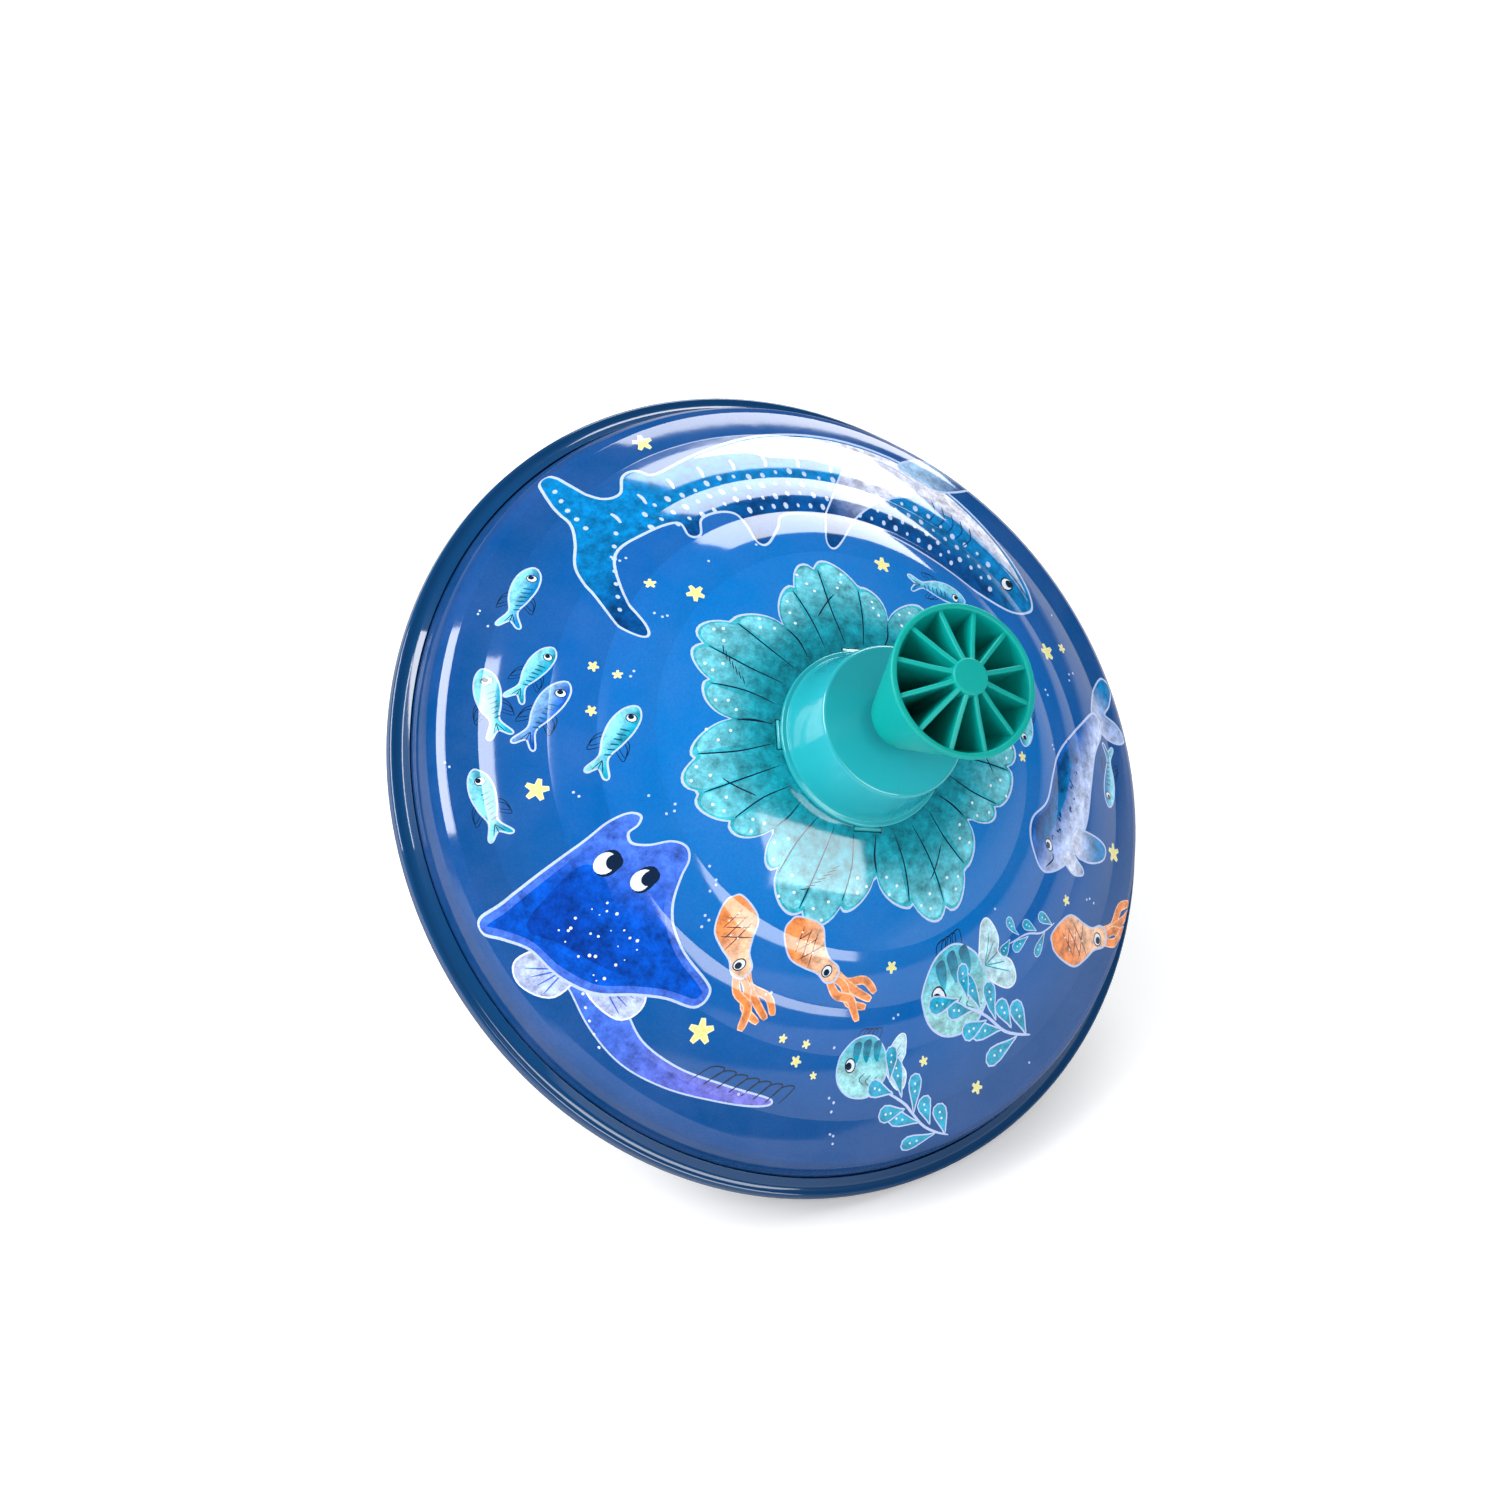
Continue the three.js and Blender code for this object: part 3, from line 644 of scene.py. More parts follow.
# A big spotted whale, curved round the dome.
def spotted_whale():
    body = [
        (70.5, -1), (67, -7.5), (57, -11.8), (42, -13.6), (24, -13.4), (6, -12.8),
        (-7, -12.8), (-12, -16.5), (-18, -19.8), (-20.8, -18.6), (-19.5, -12),
        (-23, -9), (-30, -8.4), (-33.6, -11.6), (-36.2, -10.6), (-36, -6.6),
        (-45, -4.2), (-54, -3.2), (-62, -8.5), (-69.5, -16.6), (-73, -17.6),
        (-72, -12.5), (-66, -4.5), (-62, 1), (-56.5, 4.2), (-52.5, 8), (-51, 14),
        (-48.5, 20), (-46.4, 20.4), (-45.6, 14), (-44, 7.4), (-40, 5.6), (-36, 8.6),
        (-33, 8.4), (-30, 5.4), (-16, 7.2), (0, 10.2), (18, 12.2), (36, 12.4),
        (52, 10.2), (64, 6.2), (69.6, 2.6),
    ]
    line = smooth_line(body)
    art.patch(grown_line(line, 0.6), PALE)
    art.banded(line, NIGHT_BLUE, SEA_BLUE, 58, 71)
    back = [(62, -8.6), (44, -11.4), (20, -11.6), (-4, -10.6), (-26, -7.2), (-46, -2.6),
            (-56, 0.4), (-44, 0.2), (-26, -1.6), (0, -3.8), (24, -4.6), (48, -4.6)]
    art.banded(smooth_line(back), NIGHT_BLUE, SEA_BLUE, 60.5, 67.5)
    belly = [(69, 1.8), (62, 5.8), (50, 9.8), (36, 12), (18, 11.8), (0, 9.8),
             (-12, 7.4), (-20, 6), (-8, 5)]
    for k in range(12):
        belly.append((-4 + 6 * k, 3.4 - 0.8 * (k % 2) + 0.5 * sin(k * 1.7)))
    art.banded(smooth_line(belly, steps=4), shown(70, 140, 196), shown(226, 228, 244), 71.6, 76.5)
    for row, (y, lift) in enumerate(((-10.6, 0), (-7.6, 0.5), (-4.4, 0.2), (-1.2, 0.6))):
        for k in range(30):
            x = -42 + 3.7 * k + 1.85 * (row % 2)
            top = -12.4 + 0.0018 * (x - 15) ** 2 if x < 15 else -12.4 + 0.0016 * (x - 15) ** 2
            if y + 0.6 * lift < top or x > 62 - row:
                continue
            size = 1.15 + 0.3 * sin(k * 2.1 + row)
            art.patch(oval_line(x, y + lift * sin(k * 1.3), size, size * 1.25, sides=8), PALE)
    for k in range(9):
        x = -46 + 8.2 * k
        art.stroke([(x, 0.6), (x + 0.5, 2.2), (x + 0.4, 3.6)], 0.8, PALE, 0.5, 3)
    for k in range(7):
        art.patch(oval_line(-49 - 3.1 * k, -0.4 - 1.75 * k, 1.1, 1.1, sides=7), PALE)
        if k < 5:
            art.patch(oval_line(-52 + 0.9 * k, 5 + 2.7 * k, 1.1, 1.1, sides=7), PALE)
    for k in range(5):
        x = 38 + 2.6 * k
        art.stroke([(x, -2), (x + 1, 1.6), (x - 0.2, 5)], 0.4, NIGHT_BLUE)
    fin = [(33, 8), (24, 9.5), (17, 5), (12, -4), (6, -14), (3.2, -20.6),
           (5, -22.4), (9, -19.6), (17, -10.5), (26, -2), (32.5, 3)]
    art.edged(smooth_line(fin), PALE, 0.5, shown(214, 220, 242), NIGHT_BLUE, (25, 2), (8, -13))
    low_fin = [(30, 11), (38, 10.4), (42.5, 14), (45.5, 19.6), (45.2, 22.6), (41.6, 23),
               (37, 19.6), (32.5, 15.4)]
    art.edged(smooth_line(low_fin), PALE, 0.5, shown(150, 186, 222), NIGHT_BLUE, (35, 12), (44, 20))
    eye(62.5, -0.6, 3.6, 80, (0.1, 0.18))
    art.stroke([(69.4, 2.4), (63, 3.4), (58, 3)], 0.45, NIGHT_BLUE)


art.at(118, 70)
spotted_whale()


# A small mottled whale with a pale belly.
def small_whale():
    tail = [(-25, 8), (-29.5, 12), (-32, 17.5), (-30, 20), (-27, 17), (-25, 14),
            (-22.5, 18), (-20, 19.6), (-19.4, 15.6), (-21.5, 10)]
    art.edged(smooth_line(tail), PALE, 0.4, shown(170, 186, 226), SEA_BLUE, (-24, 10), (-29, 18))
    body = [
        (19.5, -14), (15, -18), (8.5, -18.6), (1.5, -14.6), (-8, -12), (-16, -7.6),
        (-21.5, 0.5), (-25, 8.6), (-21.8, 10.2), (-16, 4.8), (-8, 1.8), (1, 0.2),
        (9, -2.4), (16, -6.6), (19.6, -10.4),
    ]
    line = smooth_line(body)
    art.patch(grown_line(line, 0.55), PALE)
    art.patch(line, shown(10, 92, 176), shown(190, 206, 244), (-6, -9.5), (-2, -1.5))
    art.patch(
        smooth_line([(14, -16.6), (8.5, -17.6), (1.5, -13.6), (-8, -11), (-15, -6.6),
                     (-19, -1.5), (-12, -5), (-2, -8), (8, -11.5), (14, -14.5)]),
        NIGHT_BLUE, SEA_BLUE, (-6, -12), (-3, -6.5),
    )
    for k in range(34):
        t = (k * 0.381966) % 1
        x = -18 + 30 * t
        y = -5 - 9.5 * t + 2.8 * sin(k * 2.7) + 2.2 * sin(pi * t)
        art.patch(oval_line(x, y, 1 + 0.4 * sin(k), 0.7, 40, 8), NIGHT_BLUE)
    for fin in (
        [(4, -3), (9, -4.6), (9.6, 2), (6.8, 7.6), (4, 8), (3.2, 3)],
        [(10.5, -5), (13.4, -6), (14.6, -2.2), (13, 1.6), (11.4, 0)],
    ):
        art.edged(smooth_line(fin), PALE, 0.4, shown(198, 208, 236), SEA_BLUE, (8, -3), (6, 6))
    eye(12.6, -11.6, 3, 70, (0.1, -0.1))
    art.stroke([(18.6, -10.6), (15.6, -9.2), (13.8, -9.6)], 0.35, INK)


art.at(219, 68)
small_whale()


# Little fish, squids, striped fish, seaweed, stars and bubbles.
def little_fish(back, flank):
    for side in (-1, 1):
        for k in range(2):
            art.stroke(
                [(1.2 - k, 1.2 * side), (-0.6 - k, 3.4 * side), (-3.4 - k, 3.8 * side),
                 (-1.6 - k, 1.4 * side)],
                0.2,
                INK,
            )
    body = [(8.4, 0), (6.6, -1.9), (3, -2.5), (-1, -1.8), (-4.6, -0.7), (-8.2, -2.4),
            (-8.6, -1.8), (-7, 0), (-8.6, 1.9), (-8, 2.4), (-4.6, 0.8), (-1, 1.9),
            (3, 2.5), (6.6, 1.8)]
    art.edged(smooth_line(body, steps=4), PALE, 0.38, back, flank, (1, -2), (1, 1.6))
    for k in range(6):
        art.stroke([(2.6 - 1.25 * k, -1.9 + 0.15 * k), (2.2 - 1.25 * k, 0.2)], 0.4, DEEP_TEAL)
    for k in range(3):
        art.stroke([(-5.2, 0), (-7.8, 1.2 * (k - 1))], 0.18, INK)
    eye(5.5, -0.5, 2.1, 90, (0.1, 0.12))


def squid():
    for k in range(4):
        y = 1.5 * (k - 1.5)
        bend = 1.3 * sin(k * 2.2 + 1)
        art.edged(
            stroke_line([(-2, y * 0.5), (-6, y * 0.7 + bend * 0.6), (-9.6, y * 1.1 - bend),
                         (-13.4, y * 1.5 + bend * 0.5)], 1.45, 0.5),
            PEACH, 0.25, ORANGE,
        )
    body = [(14.6, 0.4), (14.4, -1.4), (11, -4), (7.4, -5.2), (4, -3.2), (1, -1.9),
            (-2.2, -1.9), (-3.4, 0), (-2.2, 1.9), (1, 2), (4.2, 3.4), (8, 4.6),
            (12, 3.4), (14.2, 1.8)]
    art.edged(smooth_line(body), PALE, 0.4, PEACH, ORANGE, (2, -2), (9, 3.5))
    for k in range(3):
        art.stroke([(4 + 2.4 * k, -3.4 + 0.3 * k), (6.5 + 1.8 * k, 3.6 - 0.9 * k)], 0.22, INK)
        art.stroke([(3.4 + 2.4 * k, 3), (7.4 + 1.9 * k, -3.8 + 0.9 * k)], 0.22, INK)
    art.dots([(5 + 1.1 * k, 1.6 * sin(k * 2)) for k in range(6)], 0.45, MILK)
    eye(-0.6, 0.3, 2.5, 90, (-0.05, 0.1))


def round_fish():
    tail = [(-6, 0), (-9.6, -6.4), (-12.8, -7), (-13.2, -2.4), (-11.6, 0.4), (-13, 3.6),
            (-12, 7.4), (-9.2, 6.4)]
    art.edged(smooth_line(tail), MILK, 0.3, shown(176, 214, 226))
    for k in range(5):
        art.stroke([(-7.4, 0), (-11.8, 2.5 * (k - 2))], 0.25, TEAL)
    for k in range(4):
        art.stroke([(-3 + 2 * k, -6.4), (-4.2 + 1.6 * k, -9.8), (-1.6 + 1.7 * k, -9.6),
                    (-0.6 + 1.8 * k, -6.6)], 0.26, INK)
    body = [(9.6, 1.2), (8.6, -3.6), (4.6, -7.4), (-1.4, -7.8), (-5.6, -4), (-6.6, 0.2),
            (-5.4, 4.4), (-1.2, 8), (4.4, 7.8), (8.2, 5)]
    art.edged(smooth_line(body), PALE, 0.4, shown(70, 176, 200), shown(146, 208, 214),
              (0, -6), (1, 2))
    for x in (-3.4, 0.2, 3.6):
        art.patch(
            smooth_line([(x - 0.8, -7 + 0.04 * x * x), (x + 1.6, -6.6 + 0.04 * x * x),
                         (x + 1.3, -3), (x + 0.1, -1), (x - 0.9, -3.4)]),
            DEEP_TEAL, TEAL, (x, -7), (x, -1.5),
        )
    for k in range(3):
        art.stroke([(0.6 - 2.3 * k * 0.9, 1.8 + 0.6 * k), (2.2 - 2.3 * k * 0.9, 3.4 + 0.6 * k),
                    (0.8 - 2.3 * k * 0.9, 5 + 0.4 * k)], 0.3, DEEP_TEAL)
    eye(5.6, -0.4, 3.6, 90, (0.14, 0.05))


def seaweed(leaves):
    art.stroke([(0, 12), (1.5, 4), (0.5, -4), (3, -13)], 0.7, PALE)
    for k in range(leaves):
        y = 10.5 - 23 * k / (leaves - 1)
        side = 1 if k % 2 else -1
        turn = -90 + side * (38 + 14 * sin(k * 1.7))
        long = 8.2 + 1.2 * sin(k * 2.3)
        leaf = drop_line(0.8 + 0.6 * side, y, long, 4.6, turn)
        art.edged(leaf, PALE, 0.35, TEAL, shown(40, 160, 196), (0.8, y), (0.8 + side * 4.5, y - 4.5))
        spin = radians(turn)
        art.dots([(0.8 + 0.6 * side + cos(spin) * long * f, y + sin(spin) * long * f)
                  for f in (0.55, 0.75)], 0.6, MILK)


FISH = (
    (31.5, 54.5, -30, 1, 0), (37.5, 68.3, -28, 0.98, 1), (45, 71.3, -24, 0.85, 0),
    (22.5, 80.3, 10, 0.95, 0), (39, 78.6, 16, 0.95, 0), (58.5, 78.2, 0, 0.92, 2),
    (155, 47.8, 24, 0.9, 2), (199, 48.5, -20, 0.8, 0), (209, 78.5, -10, 0.9, 2),
)
COATS = ((TEAL, LIT_TEAL), (shown(20, 90, 184), shown(120, 170, 226)), (SEA_BLUE, LIT_TEAL))
for clockwise, radius, turn, size, coat in FISH:
    art.at(clockwise, radius, turn, size)
    little_fish(*COATS[coat])
for clockwise, radius, turn, size in (
    (309.5, 50.6, -30, 0.96), (330, 55.5, -42, 0.98), (237.5, 80.5, -46, 1.15)
):
    art.at(clockwise, radius, turn, size)
    squid()
for clockwise, radius, turn, size in ((272, 59, 4, 1.12), (295.5, 69.8, 0, 0.76)):
    art.at(clockwise, radius, turn, size)
    round_fish()
for clockwise, radius, turn, size, leaves in (
    (266, 70, 40, 1, 10), (248.5, 62, 55, 0.62, 6), (285, 81.5, 44, 0.92, 9)
):
    art.at(clockwise, radius, turn, size)
    seaweed(leaves)
STARS = (
    (76, 48.5, 2), (137, 46, 1.9), (23, 70.5, 2.4), (96, 84.5, 2.3), (184.5, 67.5, 2.1),
    (222, 80, 2.1), (329, 71, 2.7), (38, 59, 1.2), (48, 60, 1.2), (47, 55, 1), (72, 57, 1.2),
    (283.5, 71, 1.1), (291, 50, 1.3), (310, 69.7, 1.2), (314, 66, 0.9), (273, 81.5, 1.5),
    (210, 45, 1.2), (185, 74, 1.2), (237, 67, 1.2), (309, 66, 0.9), (306, 72, 0.8),
)
for k, (clockwise, radius, size) in enumerate(STARS):
    art.at(clockwise, radius)
    star = star_line(0, 0, size, 25 * k)
    art.edged(star, shown(246, 242, 196, 0.5), size * 0.09, YELLOW)
BUBBLES = (
    (16, 50), (47, 52.5), (73, 65), (52, 82), (53.5, 85), (65, 51), (100, 50.5), (192, 60), (190, 72),
    (179, 78), (205, 57), (233, 74), (255, 50), (289, 60), (301, 77), (303, 66), (317, 78), (347, 47),
    (352, 45.5), (20, 63), (10, 46), (86, 52), (29, 87), (300, 84), (262, 84.5), (320, 58), (342, 53),
)
for k, (clockwise, radius) in enumerate(BUBBLES):
    art.at(clockwise, radius)
    spread = [(0, 0), (1.1 + 0.3 * sin(k), 0.9 * cos(k * 2)), (0.2 * cos(k), 1.8)]
    art.dots(spread[: 1 + k % 3], 0.62, PALE)

# The dome's section: flat land, terraces with a small round at each crease, shoulder and flange.
# Each terrace starts at its share of the mean slope and steepens outward.
CREASES = ((21.6, 46), (36, 42.3), (46.3, 37.5), (57.8, 31.2), (67.5, 26), (80.5, 17.8))
dome_line = [(13, 46, 0), (17, 46, 0)]
STARTS = (0.5, 0.9, 0.42, 0.38, 0.62)
for (r0, z0), (r1, z1), start in zip(CREASES, CREASES[1:], STARTS):
    parts = max(4, round((r1 - r0) / 1.6))
    for k in range(parts):
        t = k / parts
        fall = start * t + (1 - start) * t * t
        dome_line.append((r0 + (r1 - r0) * t, z0 + (z1 - z0) * fall, 0))
dome_line += [
    (80.5, 17.8, 0), (84.5, 16.1, 1.2), (87, 14.7, 1.5), (88.6, 13, 2), (89.7, 10.4, 2),
    (90.4, 6.9, 1), (90.6, 3.4, 0.5), (90.9, 1.5, 0.5), (91.5, 0.7, 0.3), (93.5, 0.6, 0),
]
creases = {r: 0.9 for r, _ in CREASES}
dome_line = [(r, z + SEAM, creases.get(r, fillet)) for r, z, fillet in dome_line]
dome_rows = rounded(dome_line, 4)
dome_rows = [p for i, p in enumerate(dome_rows) if i == 0 or (p - dome_rows[i - 1]).length > 0.04]
# Distance on the flat sheet: the plain radius out to the shoulder, then the length along it.
reach = [dome_rows[0].x]
for a, b in zip(dome_rows, dome_rows[1:]):
    reach.append(reach[-1] + (b.x - a.x if b.x < 84 else (b - a).length))
reach = np.array(reach)
row_r = np.array([p.x for p in dome_rows])
row_z = np.array([p.y for p in dome_rows])
run = np.array([(b - a).normalized() for a, b in zip(dome_rows, dome_rows[1:])])
row_run = np.vstack((run[:1], run[:-1] + run[1:], run[-1:]))
row_run /= np.linalg.norm(row_run, axis=1)[:, None]
row_normal = np.column_stack((-row_run[:, 1], row_run[:, 0]))


def flat_sheet(rows, outlines):
    """Triangles of the flat sheet, cut along its rings, the tab slots and the given outlines."""
    points = []
    edges = []

    def add(outline):
        first = len(points)
        points.extend(Vector(p) for p in outline)
        count = len(points) - first
        edges.extend((first + i, first + (i + 1) % count) for i in range(count))

    for q, count in rows:
        add([(q * cos(tau * k / count), q * sin(tau * k / count)) for k in range(count)])
    for outline in SLOTS + outlines:
        add(outline)
    made = delaunay_2d_cdt(points, edges, [], 0, 1e-4, False)
    spots = np.array([tuple(p) for p in made[0]])
    faces = np.array(made[2])
    middle = spots[faces].mean(axis=1)
    keep = np.hypot(*middle.T) > rows[0][0] * 0.9999
    for slot in SLOTS:
        keep &= ~inside(middle, np.array(slot))
    return spots, faces[keep]


def inside(places, outline):
    """Which places lie inside an outline, by its winding round them."""
    low, high = outline.min(axis=0), outline.max(axis=0)
    near = np.flatnonzero(np.all((places > low) & (places < high), axis=1))
    hit = np.zeros(len(places), bool)
    if len(near) == 0:
        return hit
    x, y = places[near, 0][:, None], places[near, 1][:, None]
    ax, ay = outline[:, 0][None], outline[:, 1][None]
    bx, by = np.roll(outline[:, 0], -1)[None], np.roll(outline[:, 1], -1)[None]
    side = (bx - ax) * (y - ay) - (x - ax) * (by - ay)
    wind = ((ay <= y) & (by > y) & (side > 0)).sum(1) - ((ay > y) & (by <= y) & (side < 0)).sum(1)
    hit[near] = wind != 0
    return hit


TAB_PHASE = 14.5
SLOTS = []
for k in range(4):
    wheel = Matrix.Rotation(radians(TAB_PHASE + 90 * k), 2)
    SLOTS.append(
        [tuple(wheel @ Vector(p)) for p in ((19.4, -3.5), (21.2, -3.5), (21.2, 3.5), (19.4, 3.5))]
    )
SIDES = 180
fine_rows = [(q, SIDES) for q in reach if not 18.5 < q < 21.4]
spots, faces = flat_sheet(fine_rows, [patch[0] for patch in art.patches])
middles = spots[faces].mean(axis=1)
top_patch = np.full(len(faces), -1)
for i, patch in enumerate(art.patches):
    top_patch[inside(middles, patch[0])] = i
coarse_rows = [(reach[0], SIDES)]
coarse_rows += [(q, 60) for q in (30, 36, 41, 46.3, 52, 57.8, 62.5, 67.5, 74, 80.5, 84.5)]
coarse_rows += [(q, 90) for q in reach[reach > 85.5][:-1:3]] + [(reach[-1], SIDES)]
under_spots, under_faces = flat_sheet(coarse_rows, [])


def pressed(flat, drop):
    """Takes flat places to the pressed dome, at a depth below its face."""
    q = np.hypot(*flat.T)
    r = np.interp(q, reach, row_r) - drop * np.interp(q, reach, row_normal[:, 0])
    z = np.interp(q, reach, row_z) - drop * np.interp(q, reach, row_normal[:, 1])
    out = flat / q[:, None]
    return np.column_stack((out * r[:, None], z)) * MM


def border(faces):
    """The open edges of a sheet, in its faces' own direction."""
    pairs = {}
    for face in faces:
        for a, b in ((face[0], face[1]), (face[1], face[2]), (face[2], face[0])):
            pairs[(int(a), int(b))] = True
    return [pair for pair in pairs if (pair[1], pair[0]) not in pairs]


outer = pressed(spots, 0)
inner = pressed(under_spots, TIN)
base = len(outer)
rounded_key = {tuple(np.round(p, 3)): i for i, p in enumerate(under_spots)}
walls = []
for a, b in border(faces):
    c, d = rounded_key[tuple(np.round(spots[a], 3))], rounded_key[tuple(np.round(spots[b], 3))]
    walls.append((b, a, base + c, base + d))
sheet_faces = [tuple(map(int, f)) for f in faces]
sheet_faces += [(base + int(c), base + int(b), base + int(a)) for a, b, c in under_faces]
sheet_faces += walls
mesh = bpy.data.meshes.new("printed_dome")
mesh.from_pydata(np.vstack((outer, inner)).tolist(), [], sheet_faces)

# Inks at every corner: the ground deepens from cobalt to navy towards the rolled rim.
GROUND = np.array([shown(26, 122, 200, 0), shown(0, 112, 192, 0), shown(2, 94, 172, 0),
                   shown(6, 76, 140, 0), shown(0, 72, 138, 0), shown(0, 58, 112, 0)])
GROUND_AT = (22, 45, 62, 82, 90, 96)
corner_spots = spots[faces]
distance = np.hypot(corner_spots[..., 0], corner_spots[..., 1])
inks = np.stack([np.interp(distance, GROUND_AT, GROUND[:, k]) for k in range(4)], axis=-1)
for i, (outline, ink, second, start, end) in enumerate(art.patches):
    mine = top_patch == i
    if second is None:
        inks[mine] = ink
        continue
    if isinstance(start, Vector):
        line = np.array(end - start)
        t = ((corner_spots[mine] - np.array(start)) @ line) / (line @ line)
    else:
        t = (distance[mine] - start) / (end - start)
    t = np.clip(t, 0, 1)
    t = (t * t * (3 - 2 * t))[..., None]
    inks[mine] = np.array(ink) * (1 - t) + np.array(second) * t
plain = np.array(shown(150, 152, 150, 1))
corners = np.tile(plain, (len(mesh.loops), 1))
corners[: inks.size // 4] = inks.reshape(-1, 4)
layer = mesh.color_attributes.new("print", "FLOAT_COLOR", "CORNER")
layer.data.foreach_set("color", corners.astype(np.float32).ravel())
flat_normals = np.zeros((len(mesh.loops), 3))
q = distance.reshape(-1)
flat = corner_spots.reshape(-1, 2) / q[:, None]
flat_normals[: len(q)] = np.column_stack(
    (flat * np.interp(q, reach, row_normal[:, 0])[:, None], np.interp(q, reach, row_normal[:, 1]))
)
flat_normals /= np.maximum(np.linalg.norm(flat_normals, axis=1), 1e-9)[:, None]
mesh.shade_smooth()
mesh.normals_split_custom_set(flat_normals.tolist())
dome = new_object("printed_dome", mesh)

print_finish, n = material("printed_tin")
printed = n.add("ShaderNodeVertexColor", layer_name="print")
where = n.add("ShaderNodeTexCoord").outputs["Object"]
wash = n.noise(where, 55, 6, 0.62)
pool = n.noise(where, 330, 7, 0.72)
grain = n.noise(where, 1900, 2)
painted = n.grade(printed.outputs["Alpha"], 0.5, 1)
ground = n.grade(printed.outputs["Alpha"], 0.5, 0)
washed = n.grade(wash, 0.36, 0.68)
violet = n.mix(
    n.math("MULTIPLY", washed, n.math("MULTIPLY", ground, 0.13)),
    printed.outputs["Color"],
    (0.13, 0.19, 0.48, 1),
)
strength = n.grade(pool, 0.33, 0.67, 0.5, 1.55)
blotted = n.grade(grain, 0.3, 0.7, 0.92, 1.08)
shade = n.math(
    "MULTIPLY",
    n.math("ADD", 1, n.math("MULTIPLY", painted, n.math("SUBTRACT", strength, 1))),
    blotted,
)
colour = n.add("ShaderNodeVectorMath", {0: violet, "Scale": shade}, operation="SCALE").outputs[0]
dent = n.noise(where, 130, 3)
bump = n.add("ShaderNodeBump", {"Strength": 0.05, "Distance": 0.0004, "Height": dent}).outputs[0]
shader = n.add(
    "ShaderNodeBsdfPrincipled",
    {"Base Color": colour, "Roughness": 0.5, "Specular IOR Level": 0, "Coat Weight": 1,
     "Coat IOR": 1.72, "Coat Roughness": 0.075, "Normal": bump, "Coat Normal": bump},
)
n.add("ShaderNodeOutputMaterial", {"Surface": shader.outputs[0]})
dome.data.materials.append(print_finish)
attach(dome, "housing")
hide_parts("upper_shell")

# Inside: a moulded plate and crown ring carry the drive nut, above a steel tube down to the foot's
# socket. They are plain white mouldings and zinc-plated steel.
WHITE = (0.74, 0.76, 0.74)
white_moulding = finish_with("white_moulding", WHITE, 0.5, cloud=0.04, change=0.12, ripple=0.05)
ZINC = (0.62, 0.63, 0.65)
zinc_plate = finish_with(
    "zinc_plate", ZINC, 0.28, cloud=0.12, scale=140, change=0.2, ripple=0.05, Metallic=1
)
for node in ("clutch_plate", "clutch_ring", "drive_nut", "foot_socket", "rod_stop"):
    dress(node, white_moulding)
for node in ("thrust_washer", "guide_tube", "stop_pin"):
    dress(node, zinc_plate)

# Foot: a solid green-teal nose with a worn flat at its tip, its stem pressed into the socket.
FOOT_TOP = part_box("foot_socket")[0].z / MM - 0.6
STEM_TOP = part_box("foot")[1].z / MM
foot_line = [
    (0, 0, 0), (2.5, 0, 0.5), (3.9, 1.9, 2), (5.4, 4.7, 3), (7.4, 10, 6),
    (9.8, 15.9, 6), (14, 23.3, 4), (15.7, 25.3, 1), (16, 26, 0.5),
    (16, FOOT_TOP, 0.3), (5.3, FOOT_TOP, 0.2), (5.3, STEM_TOP, 0.4), (0, STEM_TOP, 0),
]
foot = mesh_object("foot_nose", spun(rounded(foot_line), 96))
smooth_faces(foot)
GREEN_TEAL = (0, 0.37, 0.33)
green_moulding = finish_with(
    "green_moulding", GREEN_TEAL, 0.36, cloud=0.05, scale=90, change=0.06, ripple=0.03,
    Subsurface_Weight=0.15, Subsurface_Scale=0.002, Specular_IOR_Level=0.3,
)
foot.data.materials.append(green_moulding)
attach(foot, "housing")
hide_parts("foot")

# Collar: a clear teal moulding that covers the clutch. Its base flange stands on the dome and four
# snap tabs go down through slots in the tin.
collar_low = SEAM + 46.1
collar_line = [
    (16.7, 0, 0.2), (20.2, 0, 0.2), (20.2, 1.1, 0.35), (19.1, 1.2, 0.2), (17.3, 15.95, 0.85),
    (3.45, 16, 0.3), (3.45, 13.8, 0.2), (15.7, 13.8, 0.8),
]
collar_line = [(r, z + collar_low, fillet) for r, z, fillet in collar_line]
collar_bm = spun(rounded(collar_line), 128)
TAB_SIZE = (1.16, 6.4, 3.36, 1000)
for k in range(4):
    tab = bmesh.ops.create_cube(collar_bm, size=1)["verts"]
    bmesh.ops.transform(
        collar_bm,
        verts=tab,
        matrix=Matrix.Rotation(radians(TAB_PHASE + 90 * k), 4, "Z")
        @ Matrix.Translation(Vector((20.3, 0, collar_low - 1.62)) * MM)
        @ Matrix.Diagonal(Vector(TAB_SIZE) * MM),
    )
collar = mesh_object("clear_collar", collar_bm)
smooth_faces(collar)
CLEAR_TEAL = (0.02, 0.46, 0.53)
clear_moulding = finish_with(
    "clear_moulding", CLEAR_TEAL, 0.22, cloud=0.05, scale=50, change=0.04, ripple=0.015,
    Transmission_Weight=0.15, IOR=1.46, Coat_Weight=1, Coat_Roughness=0.05,
)
collar.data.materials.append(clear_moulding)
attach(collar, "housing")
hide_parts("collar")

